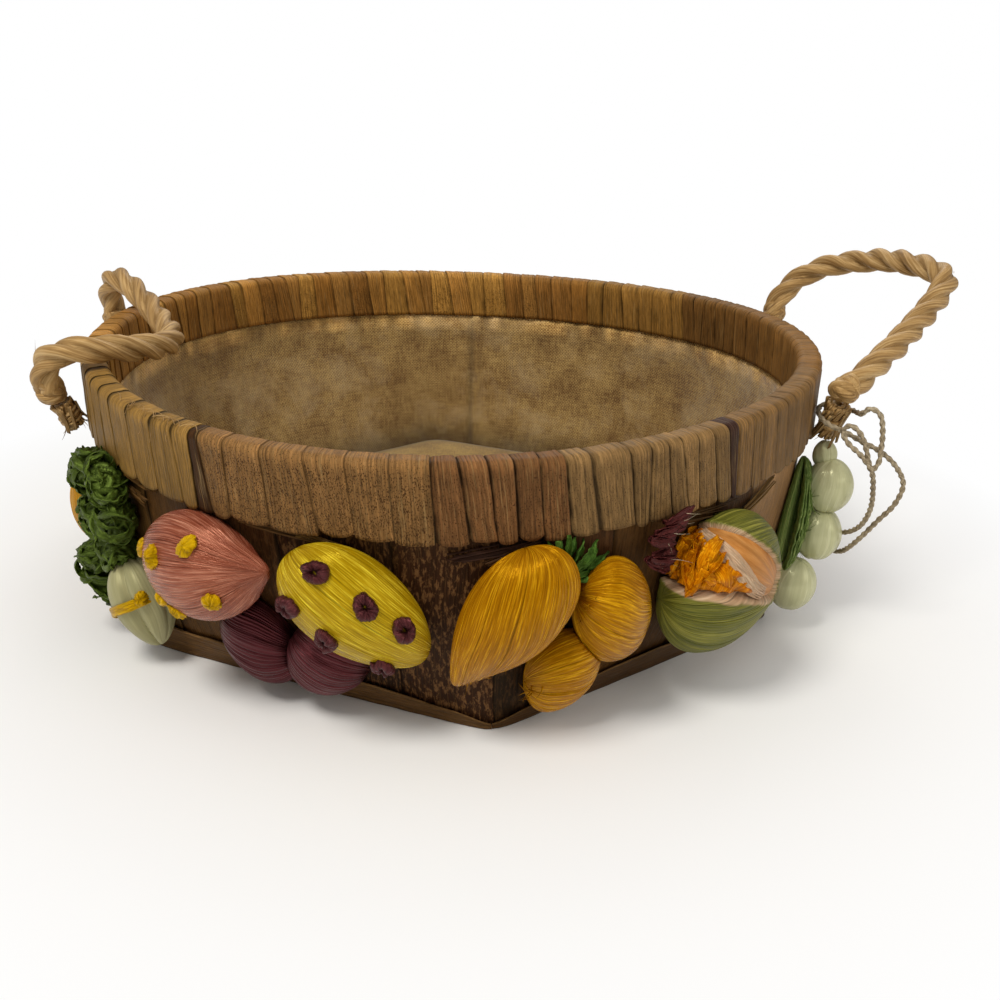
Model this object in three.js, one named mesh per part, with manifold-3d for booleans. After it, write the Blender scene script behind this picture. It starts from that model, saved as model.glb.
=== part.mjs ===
// A round basket plaited from broad dried leaf strips, with a leaf-wrapped rim, a cloth lining,
// two twisted rope handles and padded raffia fruit sewn round its wall.
// Millimetres, +Z up. The origin is the centre of the underside, +X is the right, +Y is the back.
import * as THREE from 'three';
import { mergeVertices } from 'three/addons/utils/BufferGeometryUtils.js';
import Module from 'manifold-3d';

const wasm = await Module();
wasm.setup();

// Driving sizes of the basket
const basketHeight = 72.4; // underside to the rim's mean top
const rimRadius = 105; // outside of the wrapped rim
const rimBandHeight = 19; // depth of the wrapping on the outside
const rimInnerBandHeight = 16; // depth of the wrapping on the inside
const rimRise = 1.75; // the rim stands this much higher at the handles, and lower between them
const baseInset = 6.2; // a corner of the six-sided base lies this far inside the rim's outside
const wallThickness = 1.2;
const baseThickness = 1.8;
const wrapThickness = 0.9;
const wrapLap = 0.5; // step from one turn of the wrapping to the next
const hoopThickness = 1.4;
const hoopInset = 1; // the hoops stop this far inside the wrapping's edges
const liningThickness = 0.8;
const liningPucker = 0.35; // the lining's gathered top edge waves in and out by this
const floorDiscThickness = 3.4;
const foldThickness = 0.8; // leaf strip folded up along each side of the base
const foldHighEdge = 8.5;
const foldLowEdge = 1.8;
const bottomRounding = 1.2; // turn from the base into the wall
const seatGap = 0.3; // clearance between pieces that touch
const foldGap = 0.45; // a fold's flat facets to the wall's
const floorClearance = 0.5; // sewn-on pieces end this far above the resting plane
const cutOverrun = 30; // solids that cut others run this far past them

// Counts, shares and angles of the basket
const baseSides = 6;
const baseTurn = degrees(-82.3); // azimuth of the corner nearest the viewer
const rimRiseAzimuth = degrees(-10.4);
const roundSteps = 60;
const wrapTurns = 60;
const wallLevelShares = [0.1, 0.26, 0.48, 0.74];
const wallFlare = 1.6; // how soon the six-sided base turns into the round rim
const cornerSharpness = 48; // exponent that rounds the base's corners
const puckerCount = 20;
const wrapStepShare = 0.86; // share of a turn after which it dips under the next one

// Rope handles
const ropeDiameter = 7.4;
const knotDiameter = 9.4; // knot at each end of a rope, where it swings
const neckTopDiameter = 6.4; // whipped neck that ties a knot to the rim
const neckFootDiameter = 5.2;
const neckFootDrop = 16.8; // below the rim's mean top
const rightNeckAzimuths = [degrees(-19.5), degrees(21.5)];
const leftNeckAzimuths = [degrees(-157), degrees(168.5)];
const ropeSides = 8;
const ropeSteps = 34;
const knotSteps = 10;

// Each point of a route has its azimuth in degrees, its distance outside the rim and its height over
// the rim's mean top. The right handle stands outwards, the left one is folded in over the rim.
const rightRopeRoute = [
  [-22.2, 7.2, -2.4], [-21, 9.2, -1.1], [-19.2, 11.3, 0.5], [-16.5, 13.7, 2.4], [-13.8, 17, 4.6],
  [-10.1, 21.6, 7.6], [-6.6, 26.5, 10.6], [-3, 32.2, 14.4], [0, 36.6, 18.2], [2.6, 36.3, 19.8],
  [5.5, 33.8, 20.2], [10.4, 30.2, 19.6], [14.9, 25.8, 17.4], [18.5, 20, 14.6], [20.8, 13.8, 10.2],
  [21.8, 8.5, 4.2], [21.9, 6, -2.4],
];
const leftRopeRoute = [
  [203.5, 8.2, -5.9], [204, 9.1, -1.8], [205, 8, 2.2], [206.3, 4.7, 4.6], [207.1, -0.3, 5.2],
  [206.8, -6.9, 4.8], [204.9, -14.2, 3.6], [201, -20.4, 2.2], [195.7, -23.6, 1.4], [189.4, -22.7, 1.8],
  [183.6, -19, 3.2], [179, -14, 5.8], [175.6, -8.3, 8.8], [173.1, -2.9, 10.6], [171.3, 1.8, 10.2],
  [169.7, 5, 6.4], [168.9, 5.9, 1.6], [168.8, 5.4, -3.4],
];

// Twine hitched round the neck of the right handle
const twineDiameter = 1.6;
const twineSides = 8;
const twineSteps = 60;
const twineRoute = [
  [-12.9, -4.5, -52.4], [-13.4, 1.3, -54.6], [-15.2, 7.6, -54.4], [-17.5, 11.6, -52.4],
  [-19.5, 13.7, -49], [-20.7, 16.5, -44.3], [-21.1, 20.2, -38.3], [-21.1, 23.6, -33.1],
  [-21.2, 25, -27.1], [-22.1, 22.3, -21.4], [-23, 18, -17.4], [-23.5, 13, -15], [-23.2, 8.3, -13.2],
  [-23.3, 4.1, -11.8], [-21.9, 1.2, -10.2], [-19.6, 1.2, -9], [-18.6, 4.7, -9], [-19.2, 8.7, -9.4],
  [-21.2, 11.3, -9], [-23.5, 12.3, -7.4], [-24.3, 14.4, -5.4], [-24, 16.7, -6.8], [-23.7, 17.9, -11],
  [-23.7, 18.3, -16.4], [-23.8, 18.2, -20], [-24.3, 17, -21.8], [-24.7, 16, -19.8], [-25, 14.8, -15.8],
  [-25.2, 12.8, -11.8], [-25.1, 10.2, -10.2], [-24.8, 8.3, -12.1], [-25.3, 10.2, -14.8],
  [-25.5, 13.8, -17.4], [-25.4, 17, -21.2], [-24.4, 18, -27.4], [-22.8, 17.8, -34.4],
  [-21.1, 15.9, -40.6], [-19.1, 12.7, -44.8], [-16.6, 8.3, -47.2], [-14.2, 2.1, -47.2],
  [-12.9, -3.6, -45.4],
];

// Padded fruit and leaves: length, width and depth of each kind
const orangeLength = 22;
const orangeWidth = 17;
const orangeDepth = 15.5;
const salmonLength = 33;
const salmonWidth = 30;
const salmonDepth = 21;
const plumLength = 27;
const plumWidth = 20;
const plumDepth = 15;
const dottedLength = 39.5;
const dottedWidth = 26.5;
const dottedDepth = 20;
const bulbLength = 25;
const bulbWidth = 20.5;
const bulbDepth = 17;
const goldenLength = 39;
const goldenWidth = 24;
const goldenDepth = 20;
const goldenRoundLength = 29;
const goldenRoundWidth = 19;
const goldenRoundDepth = 17;
const goldenSmallLength = 24.5;
const goldenSmallWidth = 18.5;
const goldenSmallDepth = 15;
const sprigLength = 15;
const sprigWidth = 10;
const sprigDepth = 5;
const melonLength = 34;
const melonWidth = 40;
const melonDepth = 24;
const petalLength = 14;
const petalWidth = 5.5;
const petalDepth = 4.5;
const podLeafLength = 36;
const podLeafWidth = 18;
const podLeafDepth = 5;
const peaLength = 13.8;
const peaWidth = 11.6;
const peaTipLength = 8;
const peaTipWidth = 6.5;
const curlLength = 15;
const curlWidth = 11;
const curlDepth = 11;
const lowCurlDepth = 16; // the lowest curls stand out further from the wall

const formSides = 10; // a fruit's facets round its axis and along it
const formRings = 7;
const leafSides = 6; // the same for a small leaf
const leafRings = 5;

// Surface roughness of each material
const leafRoughness = 0.85;
const ropeRoughness = 0.6;
const silkRoughness = 0.45;
const satinRoughness = 0.35;

const colors = {
  wallLeaf: 0x5a4030, foldLeaf: 0x7c6040, rimLeaf: 0xa5814f, cane: 0xb09468, lining: 0x8a7450,
  floorCloth: 0x9a8358, rope: 0xb59763, twine: 0xa89a80, orange: 0xdc8a1c, salmon: 0xbb7460,
  plum: 0x4a2330, dotted: 0xe2c512, pale: 0xb7c0a0, golden: 0xe6a617, green: 0x3b5d2c,
  rind: 0x75813c, flesh: 0xd9a07c, pulp: 0xe88a10, petal: 0x43141c, pea: 0xb5bf98,
};

const basket = new THREE.Group();

function degrees(angle) {
  return angle * Math.PI / 180;
}

function polar(radius, azimuth, z) {
  return new THREE.Vector3(radius * Math.cos(azimuth), radius * Math.sin(azimuth), z);
}

// Solids

function toSolid(geometry) {
  const plain = geometry.clone();
  plain.deleteAttribute('normal');
  plain.deleteAttribute('uv');
  const merged = mergeVertices(plain);
  const triangles = new Uint32Array(merged.index.array);
  if (signedVolume(merged.attributes.position, triangles) < 0) {
    triangles.reverse();
  }
  const vertices = new Float32Array(merged.attributes.position.array);
  return new wasm.Manifold(new wasm.Mesh({ numProp: 3, vertProperties: vertices, triVerts: triangles }));
}

function signedVolume(positions, triangles) {
  const corners = [new THREE.Vector3(), new THREE.Vector3(), new THREE.Vector3()];
  let volume = 0;
  for (let i = 0; i < triangles.length; i += 3) {
    corners.forEach((corner, k) => corner.fromBufferAttribute(positions, triangles[i + k]));
    volume += corners[0].dot(corners[1].cross(corners[2]));
  }
  return volume;
}

// A cut can shave off a sliver, so only the main body of a solid is kept.
function mainBody(solid) {
  const bodies = solid.decompose();
  return bodies.reduce((best, body) => (body.volume() > best.volume() ? body : best));
}

function addPiece(name, solid, color, roughness = leafRoughness) {
  const { vertProperties, triVerts } = mainBody(solid).getMesh();
  const geometry = new THREE.BufferGeometry();
  geometry.setAttribute('position', new THREE.BufferAttribute(vertProperties, 3));
  geometry.setIndex(new THREE.BufferAttribute(triVerts, 1));
  geometry.computeVertexNormals();
  const material = new THREE.MeshStandardMaterial({ color, roughness, metalness: 0 });
  const mesh = new THREE.Mesh(geometry, material);
  mesh.name = name;
  basket.add(mesh);
}

function fromRings(rings, quadsAround, quadsAlong, caps = []) {
  const positions = rings.flat().flatMap((point) => point.toArray());
  const count = rings[0].length;
  const triangles = [];
  for (let i = 0; i < quadsAround; i += 1) {
    for (let j = 0; j < quadsAlong; j += 1) {
      const ring = i * count;
      const nextRing = ((i + 1) % rings.length) * count;
      const next = (j + 1) % count;
      triangles.push(ring + j, nextRing + j, nextRing + next, ring + j, nextRing + next, ring + next);
    }
  }
  const geometry = new THREE.BufferGeometry();
  geometry.setAttribute('position', new THREE.Float32BufferAttribute(positions, 3));
  geometry.setIndex([...triangles, ...caps]);
  return toSolid(geometry);
}

// A piece that runs all round the basket: profileAt gives its section as [radius, z] points.
function roundPiece(profileAt, steps = roundSteps, closedSection = true) {
  const rings = [];
  for (let i = 0; i < steps; i += 1) {
    const azimuth = baseTurn + (i / steps) * 2 * Math.PI;
    rings.push(profileAt(azimuth, i).map(([radius, z]) => polar(radius, azimuth, z)));
  }
  const along = closedSection ? rings[0].length : rings[0].length - 1;
  return fromRings(rings, steps, along);
}

// Basket outline

function baseRadius(azimuth) {
  const apothem = baseCornerRadius * Math.cos(Math.PI / baseSides);
  let sum = 0;
  for (let side = 0; side < baseSides; side += 1) {
    const facing = Math.cos(azimuth - baseTurn - ((side + 0.5) * 2 * Math.PI) / baseSides);
    sum += Math.max(0, facing) ** cornerSharpness;
  }
  return apothem * sum ** (-1 / cornerSharpness);
}

const rimFoot = basketHeight - rimBandHeight;
const baseCornerRadius = rimRadius - baseInset;
const outerHoopRadius = rimRadius - wrapThickness - seatGap;
const wallTopRadius = outerHoopRadius - hoopThickness - seatGap;
const innerHoopRadius = wallTopRadius - wallThickness - seatGap;
const rimInnerRadius = innerHoopRadius - hoopThickness - seatGap - wrapThickness;

function wallRadius(azimuth, z) {
  const climb = Math.min(1, Math.max(0, z / rimFoot));
  const roundness = 1 - (1 - climb) ** wallFlare;
  return baseRadius(azimuth) * (1 - roundness) + wallTopRadius * roundness;
}

function rimTop(azimuth) {
  return basketHeight + rimRise * Math.cos(2 * (azimuth - rimRiseAzimuth));
}

// Wall, floor and lining

function wallProfile(azimuth) {
  const top = rimTop(azimuth) - wrapThickness - seatGap;
  const foot = wallRadius(azimuth, 0);
  const outside = [[0, 0], [foot - bottomRounding, 0], [foot, bottomRounding]];
  const inside = [];
  for (const share of [...wallLevelShares, 1]) {
    const z = share * rimFoot;
    outside.push([wallRadius(azimuth, z), z]);
    inside.unshift([wallRadius(azimuth, z) - wallThickness, z]);
  }
  outside.push([wallTopRadius, top]);
  inside.unshift([wallTopRadius - wallThickness, top]);
  inside.push([wallRadius(azimuth, baseThickness) - wallThickness, baseThickness], [0, baseThickness]);
  return [...outside, ...inside];
}

addPiece('plaited_wall', roundPiece(wallProfile, roundSteps, false), colors.wallLeaf);

const discTop = baseThickness + seatGap + floorDiscThickness;

function liningFace(azimuth, z) {
  return wallRadius(azimuth, z) - wallThickness - seatGap;
}

function discProfile(azimuth) {
  const edge = liningFace(azimuth, baseThickness) - liningThickness - seatGap;
  return [[0, baseThickness + seatGap], [edge, baseThickness + seatGap], [edge, discTop], [0, discTop]];
}

addPiece('floor_disc', roundPiece(discProfile, roundSteps, false), colors.floorCloth);

function liningProfile(azimuth, step) {
  const foot = baseThickness + seatGap;
  const top = rimTop(azimuth) - rimInnerBandHeight - seatGap;
  const pucker = liningPucker * (1 - Math.cos((step / roundSteps) * puckerCount * 2 * Math.PI));
  const levels = [foot, ...wallLevelShares.map((share) => share * rimFoot)];
  const inside = levels.map((z) => [liningFace(azimuth, z) - liningThickness, z]);
  const outside = levels.map((z) => [liningFace(azimuth, z), z]).reverse();
  const edge = liningFace(azimuth, top) - pucker;
  return [...inside, [edge - liningThickness, top], [edge, top], ...outside];
}

addPiece('cloth_lining', roundPiece(liningProfile), colors.lining);

// Rim: two hoops with the wall between them, and the wrapping over all three

function hoopProfile(outerRadius, bandHeight) {
  return (azimuth) => {
    const foot = rimTop(azimuth) - bandHeight + hoopInset;
    const top = rimTop(azimuth) - wrapThickness - seatGap - hoopInset;
    const inner = outerRadius - hoopThickness;
    return [[inner, foot], [outerRadius, foot], [outerRadius, top], [inner, top]];
  };
}

addPiece('outer_hoop', roundPiece(hoopProfile(outerHoopRadius, rimBandHeight)), colors.cane);
addPiece('inner_hoop', roundPiece(hoopProfile(innerHoopRadius, rimInnerBandHeight)), colors.cane);

function wrapSolid() {
  const sections = [];
  for (let turn = 0; turn < wrapTurns; turn += 1) {
    sections.push([turn, 0], [turn + wrapStepShare, wrapLap]);
  }
  const rings = sections.map(([turn, dip]) => {
    const azimuth = baseTurn + (turn / wrapTurns) * 2 * Math.PI;
    const top = rimTop(azimuth);
    const foot = top - rimBandHeight;
    const innerFoot = top - rimInnerBandHeight;
    const outerEdge = rimRadius - dip;
    const shoulder = wrapThickness + seatGap;
    const outerFace = rimRadius - wrapThickness;
    const innerFace = rimInnerRadius + wrapThickness;
    const profile = [
      [outerFace, foot], [outerEdge, foot], [outerEdge, top - shoulder], [outerEdge - shoulder, top - dip],
      [rimInnerRadius + shoulder, top - dip], [rimInnerRadius, top - shoulder], [rimInnerRadius, innerFoot],
      [innerFace, innerFoot], [innerFace, top - wrapThickness], [outerFace, top - wrapThickness],
    ];
    return profile.map(([radius, z]) => polar(radius, azimuth, z));
  });
  return fromRings(rings, rings.length, rings[0].length);
}

addPiece('rim_wrapping', wrapSolid(), colors.rimLeaf);

// Base folds: the ends of the base strips, turned up and pressed against the wall on each side

const sideAngle = (2 * Math.PI) / baseSides;
const foldSteps = roundSteps / baseSides;
const foldMiddleShare = 0.5; // height of a fold's middle points
const foldBend = 4; // how fast a fold reaches its full height

function foldTop(azimuth) {
  const turned = (((azimuth - baseTurn) / sideAngle) % baseSides + baseSides) % baseSides;
  const side = Math.floor(turned);
  const along = side % 2 === 0 ? turned - side : 1 - (turned - side);
  return foldLowEdge + (foldHighEdge - foldLowEdge) * (1 - (1 - along) ** foldBend);
}

function foldSolid(side) {
  const rings = [];
  for (let i = 0; i <= foldSteps; i += 1) {
    const inset = (i === 0 ? seatGap : 0) - (i === foldSteps ? seatGap : 0);
    const azimuth = baseTurn + (side + i / foldSteps) * sideAngle + inset / baseCornerRadius;
    const top = foldTop(azimuth);
    const middle = floorClearance + (top - floorClearance) * foldMiddleShare;
    const levels = [floorClearance, middle, top];
    const face = (z) => wallRadius(azimuth, Math.max(z, bottomRounding)) + foldGap;
    const inside = levels.map((z) => polar(face(z), azimuth, z)).reverse();
    const outside = levels.map((z) => polar(face(z) + foldThickness, azimuth, z));
    rings.push([...outside, ...inside]);
  }
  const count = rings[0].length;
  const last = foldSteps * count;
  const caps = [];
  for (let j = 1; j < count - 1; j += 1) {
    caps.push(0, j, j + 1, last, last + j + 1, last + j);
  }
  return fromRings(rings, foldSteps, count, caps);
}

for (let side = 0; side < baseSides; side += 1) {
  addPiece(`base_fold_${side + 1}`, foldSolid(side), colors.foldLeaf);
}

// Rope handles: the rope and its two end knots swing, the whipped necks hold them to the rim

function routePoint([azimuth, outside, rise]) {
  return polar(rimRadius + outside, degrees(azimuth), basketHeight + rise);
}

function tube(route, diameter, sides, steps) {
  const path = new THREE.CatmullRomCurve3(route.map(routePoint));
  const section = new THREE.Shape();
  for (let i = 0; i <= sides; i += 1) {
    const angle = (i / sides) * 2 * Math.PI;
    const corner = [(Math.cos(angle) * diameter) / 2, (Math.sin(angle) * diameter) / 2];
    if (i === 0) {
      section.moveTo(...corner);
    } else {
      section.lineTo(...corner);
    }
  }
  return toSolid(new THREE.ExtrudeGeometry(section, { steps, extrudePath: path, bevelEnabled: false }));
}

function knot(centre) {
  const ball = new THREE.SphereGeometry(knotDiameter / 2, knotSteps, knotSteps - 2);
  return toSolid(ball.translate(centre.x, centre.y, centre.z));
}

function neck(knotCentre, azimuth) {
  const foot = polar(rimRadius + seatGap + neckFootDiameter / 2, azimuth, basketHeight - neckFootDrop);
  const climb = knotCentre.clone().sub(foot);
  const length = climb.length() - knotDiameter / 2 - seatGap;
  climb.normalize();
  const cone = new THREE.CylinderGeometry(neckTopDiameter / 2, neckFootDiameter / 2, length, ropeSides);
  cone.applyQuaternion(new THREE.Quaternion().setFromUnitVectors(new THREE.Vector3(0, 1, 0), climb));
  const middle = foot.addScaledVector(climb, length / 2);
  return toSolid(cone.translate(middle.x, middle.y, middle.z));
}

function addHandle(side, route, neckAzimuths) {
  const nearKnot = routePoint(route[0]);
  const farKnot = routePoint(route[route.length - 1]);
  const rope = tube(route, ropeDiameter, ropeSides, ropeSteps).add(knot(nearKnot)).add(knot(farKnot));
  addPiece(`${side}_handle_rope`, rope, colors.rope, ropeRoughness);
  addPiece(`${side}_handle_near_neck`, neck(nearKnot, neckAzimuths[0]), colors.rope, ropeRoughness);
  addPiece(`${side}_handle_far_neck`, neck(farKnot, neckAzimuths[1]), colors.rope, ropeRoughness);
}

addHandle('right', rightRopeRoute, rightNeckAzimuths);
addHandle('left', leftRopeRoute, leftNeckAzimuths);
addPiece('hitched_twine', tube(twineRoute, twineDiameter, twineSides, twineSteps), colors.twine);

// Padded raffia fruit: each is a stuffed form sewn to the wall, cut where it lies on the basket
// and on the fruit sewn on before it

function clearanceProfile(azimuth) {
  const top = basketHeight + cutOverrun;
  const folded = foldTop(azimuth) + seatGap;
  const foldedRadius = (z) => wallRadius(azimuth, z) + foldGap + foldThickness + seatGap;
  const points = [[0, -cutOverrun], [foldedRadius(0), -cutOverrun], [foldedRadius(0), 0]];
  points.push([foldedRadius(folded), folded]);
  for (const share of wallLevelShares) {
    const z = Math.max(share * rimFoot, folded + seatGap);
    points.push([wallRadius(azimuth, z) + seatGap, z]);
  }
  const bandFoot = rimTop(azimuth) - rimBandHeight - seatGap;
  points.push([wallTopRadius + seatGap, bandFoot], [rimRadius + seatGap, bandFoot]);
  points.push([rimRadius + seatGap, top], [0, top]);
  return points;
}

const groundWidth = 2 * (rimRadius + cutOverrun);
const ground = new THREE.BoxGeometry(groundWidth, groundWidth, cutOverrun);
ground.translate(0, 0, floorClearance - cutOverrun / 2);
const basketClearance = roundPiece(clearanceProfile, roundSteps, false).add(toSolid(ground));

// A stuffed form with its long axis along X, narrowed by tipShare towards +X and swollen all over by swell.
function paddedGeometry(item, swell) {
  const { length, width, depth, tipShare = 0, sides = formSides, rings = formRings } = item;
  const form = new THREE.SphereGeometry(1, sides, rings);
  const positions = form.attributes.position;
  for (let i = 0; i < positions.count; i += 1) {
    const along = positions.getY(i);
    const fullness = 1 - tipShare * ((1 + along) / 2) ** 2;
    const x = (along * (length + swell)) / 2;
    const y = (positions.getX(i) * fullness * (width + swell)) / 2;
    const z = (positions.getZ(i) * fullness * (depth + swell)) / 2;
    positions.setXYZ(i, x, y, z);
  }
  return form;
}

// Frame on the wall's face: X runs round the basket turned up by tilt, Z points away from the wall.
function wallFrame(azimuth, z, tilt, stand) {
  const place = polar(wallRadius(azimuth, z), azimuth, z);
  const round = new THREE.Vector3(-Math.sin(azimuth), Math.cos(azimuth), 0);
  const up = polar(wallRadius(azimuth, z + seatGap), azimuth, z + seatGap).sub(place).normalize();
  const out = new THREE.Vector3().crossVectors(round, up);
  place.addScaledVector(out, stand);
  const along = round.clone().multiplyScalar(Math.cos(tilt)).addScaledVector(up, Math.sin(tilt));
  const across = new THREE.Vector3().crossVectors(out, along);
  return new THREE.Matrix4().makeBasis(along, across, out).setPosition(place);
}

function itemFrame(item, turn) {
  const { azimuth, heightShare, tilt = 0, standShare, depth } = item;
  return wallFrame(degrees(azimuth) + turn, heightShare * rimFoot, degrees(tilt), standShare * depth);
}

function paddedSolid(item, turn, clearance = 0) {
  const form = paddedGeometry(item, 2 * clearance);
  return toSolid(form.applyMatrix4(itemFrame(item, turn)));
}

// Places on one side of the basket. Azimuths and tilts are in degrees, heightShare is a share of the
// wall below the rim, standShare says how far the middle stands off the wall, as a share of the depth.
const fruit = {
  dotted_fruit: {
    length: dottedLength, width: dottedWidth, depth: dottedDepth, color: colors.dotted,
    azimuth: -99.5, heightShare: 0.682, tilt: -39, tipShare: 0.25, standShare: 0.28,
  },
  salmon_fruit: {
    length: salmonLength, width: salmonWidth, depth: salmonDepth, color: colors.salmon,
    azimuth: -120.4, heightShare: 0.741, tilt: 5.5, tipShare: 0.4, standShare: 0.25,
  },
  golden_fruit: {
    length: goldenLength, width: goldenWidth, depth: goldenDepth, color: colors.golden,
    azimuth: -81, heightShare: 0.66, tilt: -127, tipShare: 0.45, standShare: 0.28,
  },
  golden_round: {
    length: goldenRoundLength, width: goldenRoundWidth, depth: goldenRoundDepth, color: colors.golden,
    azimuth: -67.3, heightShare: 0.63, tilt: 97, tipShare: 0.1, standShare: 0.3,
  },
  golden_small: {
    length: goldenSmallLength, width: goldenSmallWidth, depth: goldenSmallDepth, color: colors.golden,
    azimuth: -73.4, heightShare: 0.315, tilt: -108, tipShare: 0.25, standShare: 0.3,
  },
  plum_left: {
    length: plumLength, width: plumWidth, depth: plumDepth, color: colors.plum,
    azimuth: -116.6, heightShare: 0.335, tilt: 100, tipShare: 0, standShare: 0.2,
  },
  plum_right: {
    length: plumLength, width: plumWidth, depth: plumDepth, color: colors.plum,
    azimuth: -105.4, heightShare: 0.335, tilt: 54, tipShare: 0, standShare: 0.2,
  },
  pale_bulb: {
    length: bulbLength, width: bulbWidth, depth: bulbDepth, color: colors.pale,
    azimuth: -138.2, heightShare: 0.345, tilt: -70, tipShare: 0.3, standShare: 0.3,
  },
};

const curlStandShare = 0.45;
const curls = [
  { azimuth: -147, heightShare: 0.93, tilt: 70, depth: curlDepth },
  { azimuth: -153.5, heightShare: 0.82, tilt: 20, depth: curlDepth },
  { azimuth: -141, heightShare: 0.92, tilt: -30, depth: curlDepth },
  { azimuth: -139.5, heightShare: 0.76, tilt: 50, depth: curlDepth },
  { azimuth: -146.5, heightShare: 0.7, tilt: 0, depth: curlDepth },
  { azimuth: -152.5, heightShare: 0.62, tilt: 60, depth: curlDepth },
  { azimuth: -141.5, heightShare: 0.6, tilt: -40, depth: curlDepth },
  { azimuth: -147.5, heightShare: 0.5, tilt: 30, depth: lowCurlDepth },
  { azimuth: -149, heightShare: 0.36, tilt: -60, depth: lowCurlDepth },
].map((curl) => ({
  ...curl, length: curlLength, width: curlWidth, standShare: curlStandShare,
  sides: leafSides, rings: leafRings,
}));

const petalStandShare = 1.2;
const petals = [
  { azimuth: -62.4, heightShare: 0.96, tilt: -10 },
  { azimuth: -62, heightShare: 0.85, tilt: -25 },
  { azimuth: -60.6, heightShare: 1, tilt: 5 },
].map((petal) => ({
  ...petal, length: petalLength, width: petalWidth, depth: petalDepth, standShare: petalStandShare,
  sides: leafSides, rings: leafRings,
}));

const orangeFruit = {
  length: orangeLength, width: orangeWidth, depth: orangeDepth, color: colors.orange,
  azimuth: -159, heightShare: 0.6, tilt: 90, tipShare: 0.15, standShare: 0.28,
};

const goldenSprig = {
  length: sprigLength, width: sprigWidth, depth: sprigDepth, color: colors.green,
  azimuth: -72.6, heightShare: 0.9, tilt: 62, tipShare: 0.3, standShare: 0.4,
};

const peas = [
  { azimuth: -20.5, heightShare: 0.79, standShare: 0.81 },
  { azimuth: -21, heightShare: 0.53, standShare: 0.81 },
  { azimuth: -24.8, heightShare: 0.285, standShare: 0.62 },
].map((pea) => ({ ...pea, length: peaLength, width: peaWidth, depth: peaWidth, tilt: 90 }));

const peaTip = {
  length: peaTipLength, width: peaTipWidth, depth: peaTipWidth, color: colors.pea,
  azimuth: -19.6, heightShare: 0.935, tilt: 90, standShare: 1.05,
};

const podLeaf = {
  length: podLeafLength, width: podLeafWidth, depth: podLeafDepth, color: colors.green,
  azimuth: -22.8, heightShare: 0.6, tilt: 84, tipShare: 0.2, standShare: 0.2,
};

// The melon is cut open: its mouth, flesh and pulp are outlines in shares of half its length and width.
const melon = {
  length: melonLength, width: melonWidth, depth: melonDepth,
  azimuth: -49.7, heightShare: 0.622, tilt: 0, tipShare: 0, standShare: 0.25,
};
const mouthShares = [
  [-1.3, 0.75], [-0.6, 0.8], [-0.2, 0.88], [0.1, 0.86], [0.4, 0.72], [1.3, 0.4], [1.3, -0.35],
  [0.6, -0.08], [0.2, 0.08], [-0.15, 0.2], [-0.66, 0.3], [-1.3, 0.1],
];
const fleshShares = [
  [-0.5, 0.74], [-0.2, 0.82], [0.08, 0.8], [0.36, 0.66], [1.2, 0.34], [1.2, -0.26], [0.6, 0],
  [0.24, 0.12], [0.12, 0.19], [-0.14, 0.36], [-0.38, 0.58],
];
const pulpShares = [
  [-1.2, 0.7], [-0.58, 0.72], [-0.46, 0.54], [-0.22, 0.32], [0, 0.2], [-0.14, 0.26], [-0.64, 0.36],
  [-1.2, 0.17],
];
const mouthFloorShare = 0.08; // share of its depth that the cut starts in front of the melon's middle

function prism(shares, turn, floor) {
  const outline = new THREE.Shape(shares.map(([along, across]) => (
    new THREE.Vector2((along * melonLength) / 2, (across * melonWidth) / 2))));
  const block = new THREE.ExtrudeGeometry(outline, { depth: cutOverrun, bevelEnabled: false });
  return toSolid(block.translate(0, 0, floor).applyMatrix4(itemFrame(melon, turn)));
}

function addGarland(side, turn) {
  let taken = basketClearance;

  function sewOn(name, items, color, roughness) {
    const whole = items.map((item) => paddedSolid(item, turn)).reduce((form, next) => form.add(next));
    addPiece(`${side}_${name}`, whole.subtract(taken), color, roughness);
    items.forEach((item) => {
      taken = taken.add(paddedSolid(item, turn, seatGap));
    });
  }

  function sewOnMelon() {
    const ball = paddedSolid(melon, turn).subtract(taken);
    const floor = mouthFloorShare * melonDepth;
    const rind = ball.subtract(prism(mouthShares, turn, floor));
    addPiece(`${side}_melon_rind`, rind, colors.rind, silkRoughness);
    const flesh = ball.intersect(prism(fleshShares, turn, floor + seatGap));
    addPiece(`${side}_melon_flesh`, flesh, colors.flesh);
    const pulp = ball.intersect(prism(pulpShares, turn, floor + seatGap));
    addPiece(`${side}_melon_pulp`, pulp, colors.pulp);
    taken = taken.add(paddedSolid(melon, turn, seatGap));
  }

  for (const [name, item] of Object.entries(fruit)) {
    sewOn(name, [item], item.color, silkRoughness);
  }
  sewOnMelon();
  sewOn('curled_leaves', curls, colors.green, leafRoughness);
  sewOn('orange_fruit', [orangeFruit], colors.orange, silkRoughness);
  sewOn('melon_petals', petals, colors.petal, leafRoughness);
  sewOn('golden_sprig', [goldenSprig], colors.green, leafRoughness);
  peas.forEach((pea, i) => sewOn(`pea_${i + 1}`, [pea], colors.pea, satinRoughness));
  sewOn('pea_tip', [peaTip], colors.pea, satinRoughness);
  sewOn('pod_leaf', [podLeaf], colors.green, leafRoughness);
}

addGarland('front', 0);
addGarland('back', Math.PI);

export default basket;
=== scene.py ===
"""A round basket plaited from broad dried leaf strips, with raffia fruit sewn round its wall.

Sizes and places are in millimetres in the row frame, and meshes are written in metres.
"""
import math

import bpy
import numpy as np
from mathutils import Matrix, Vector


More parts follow.
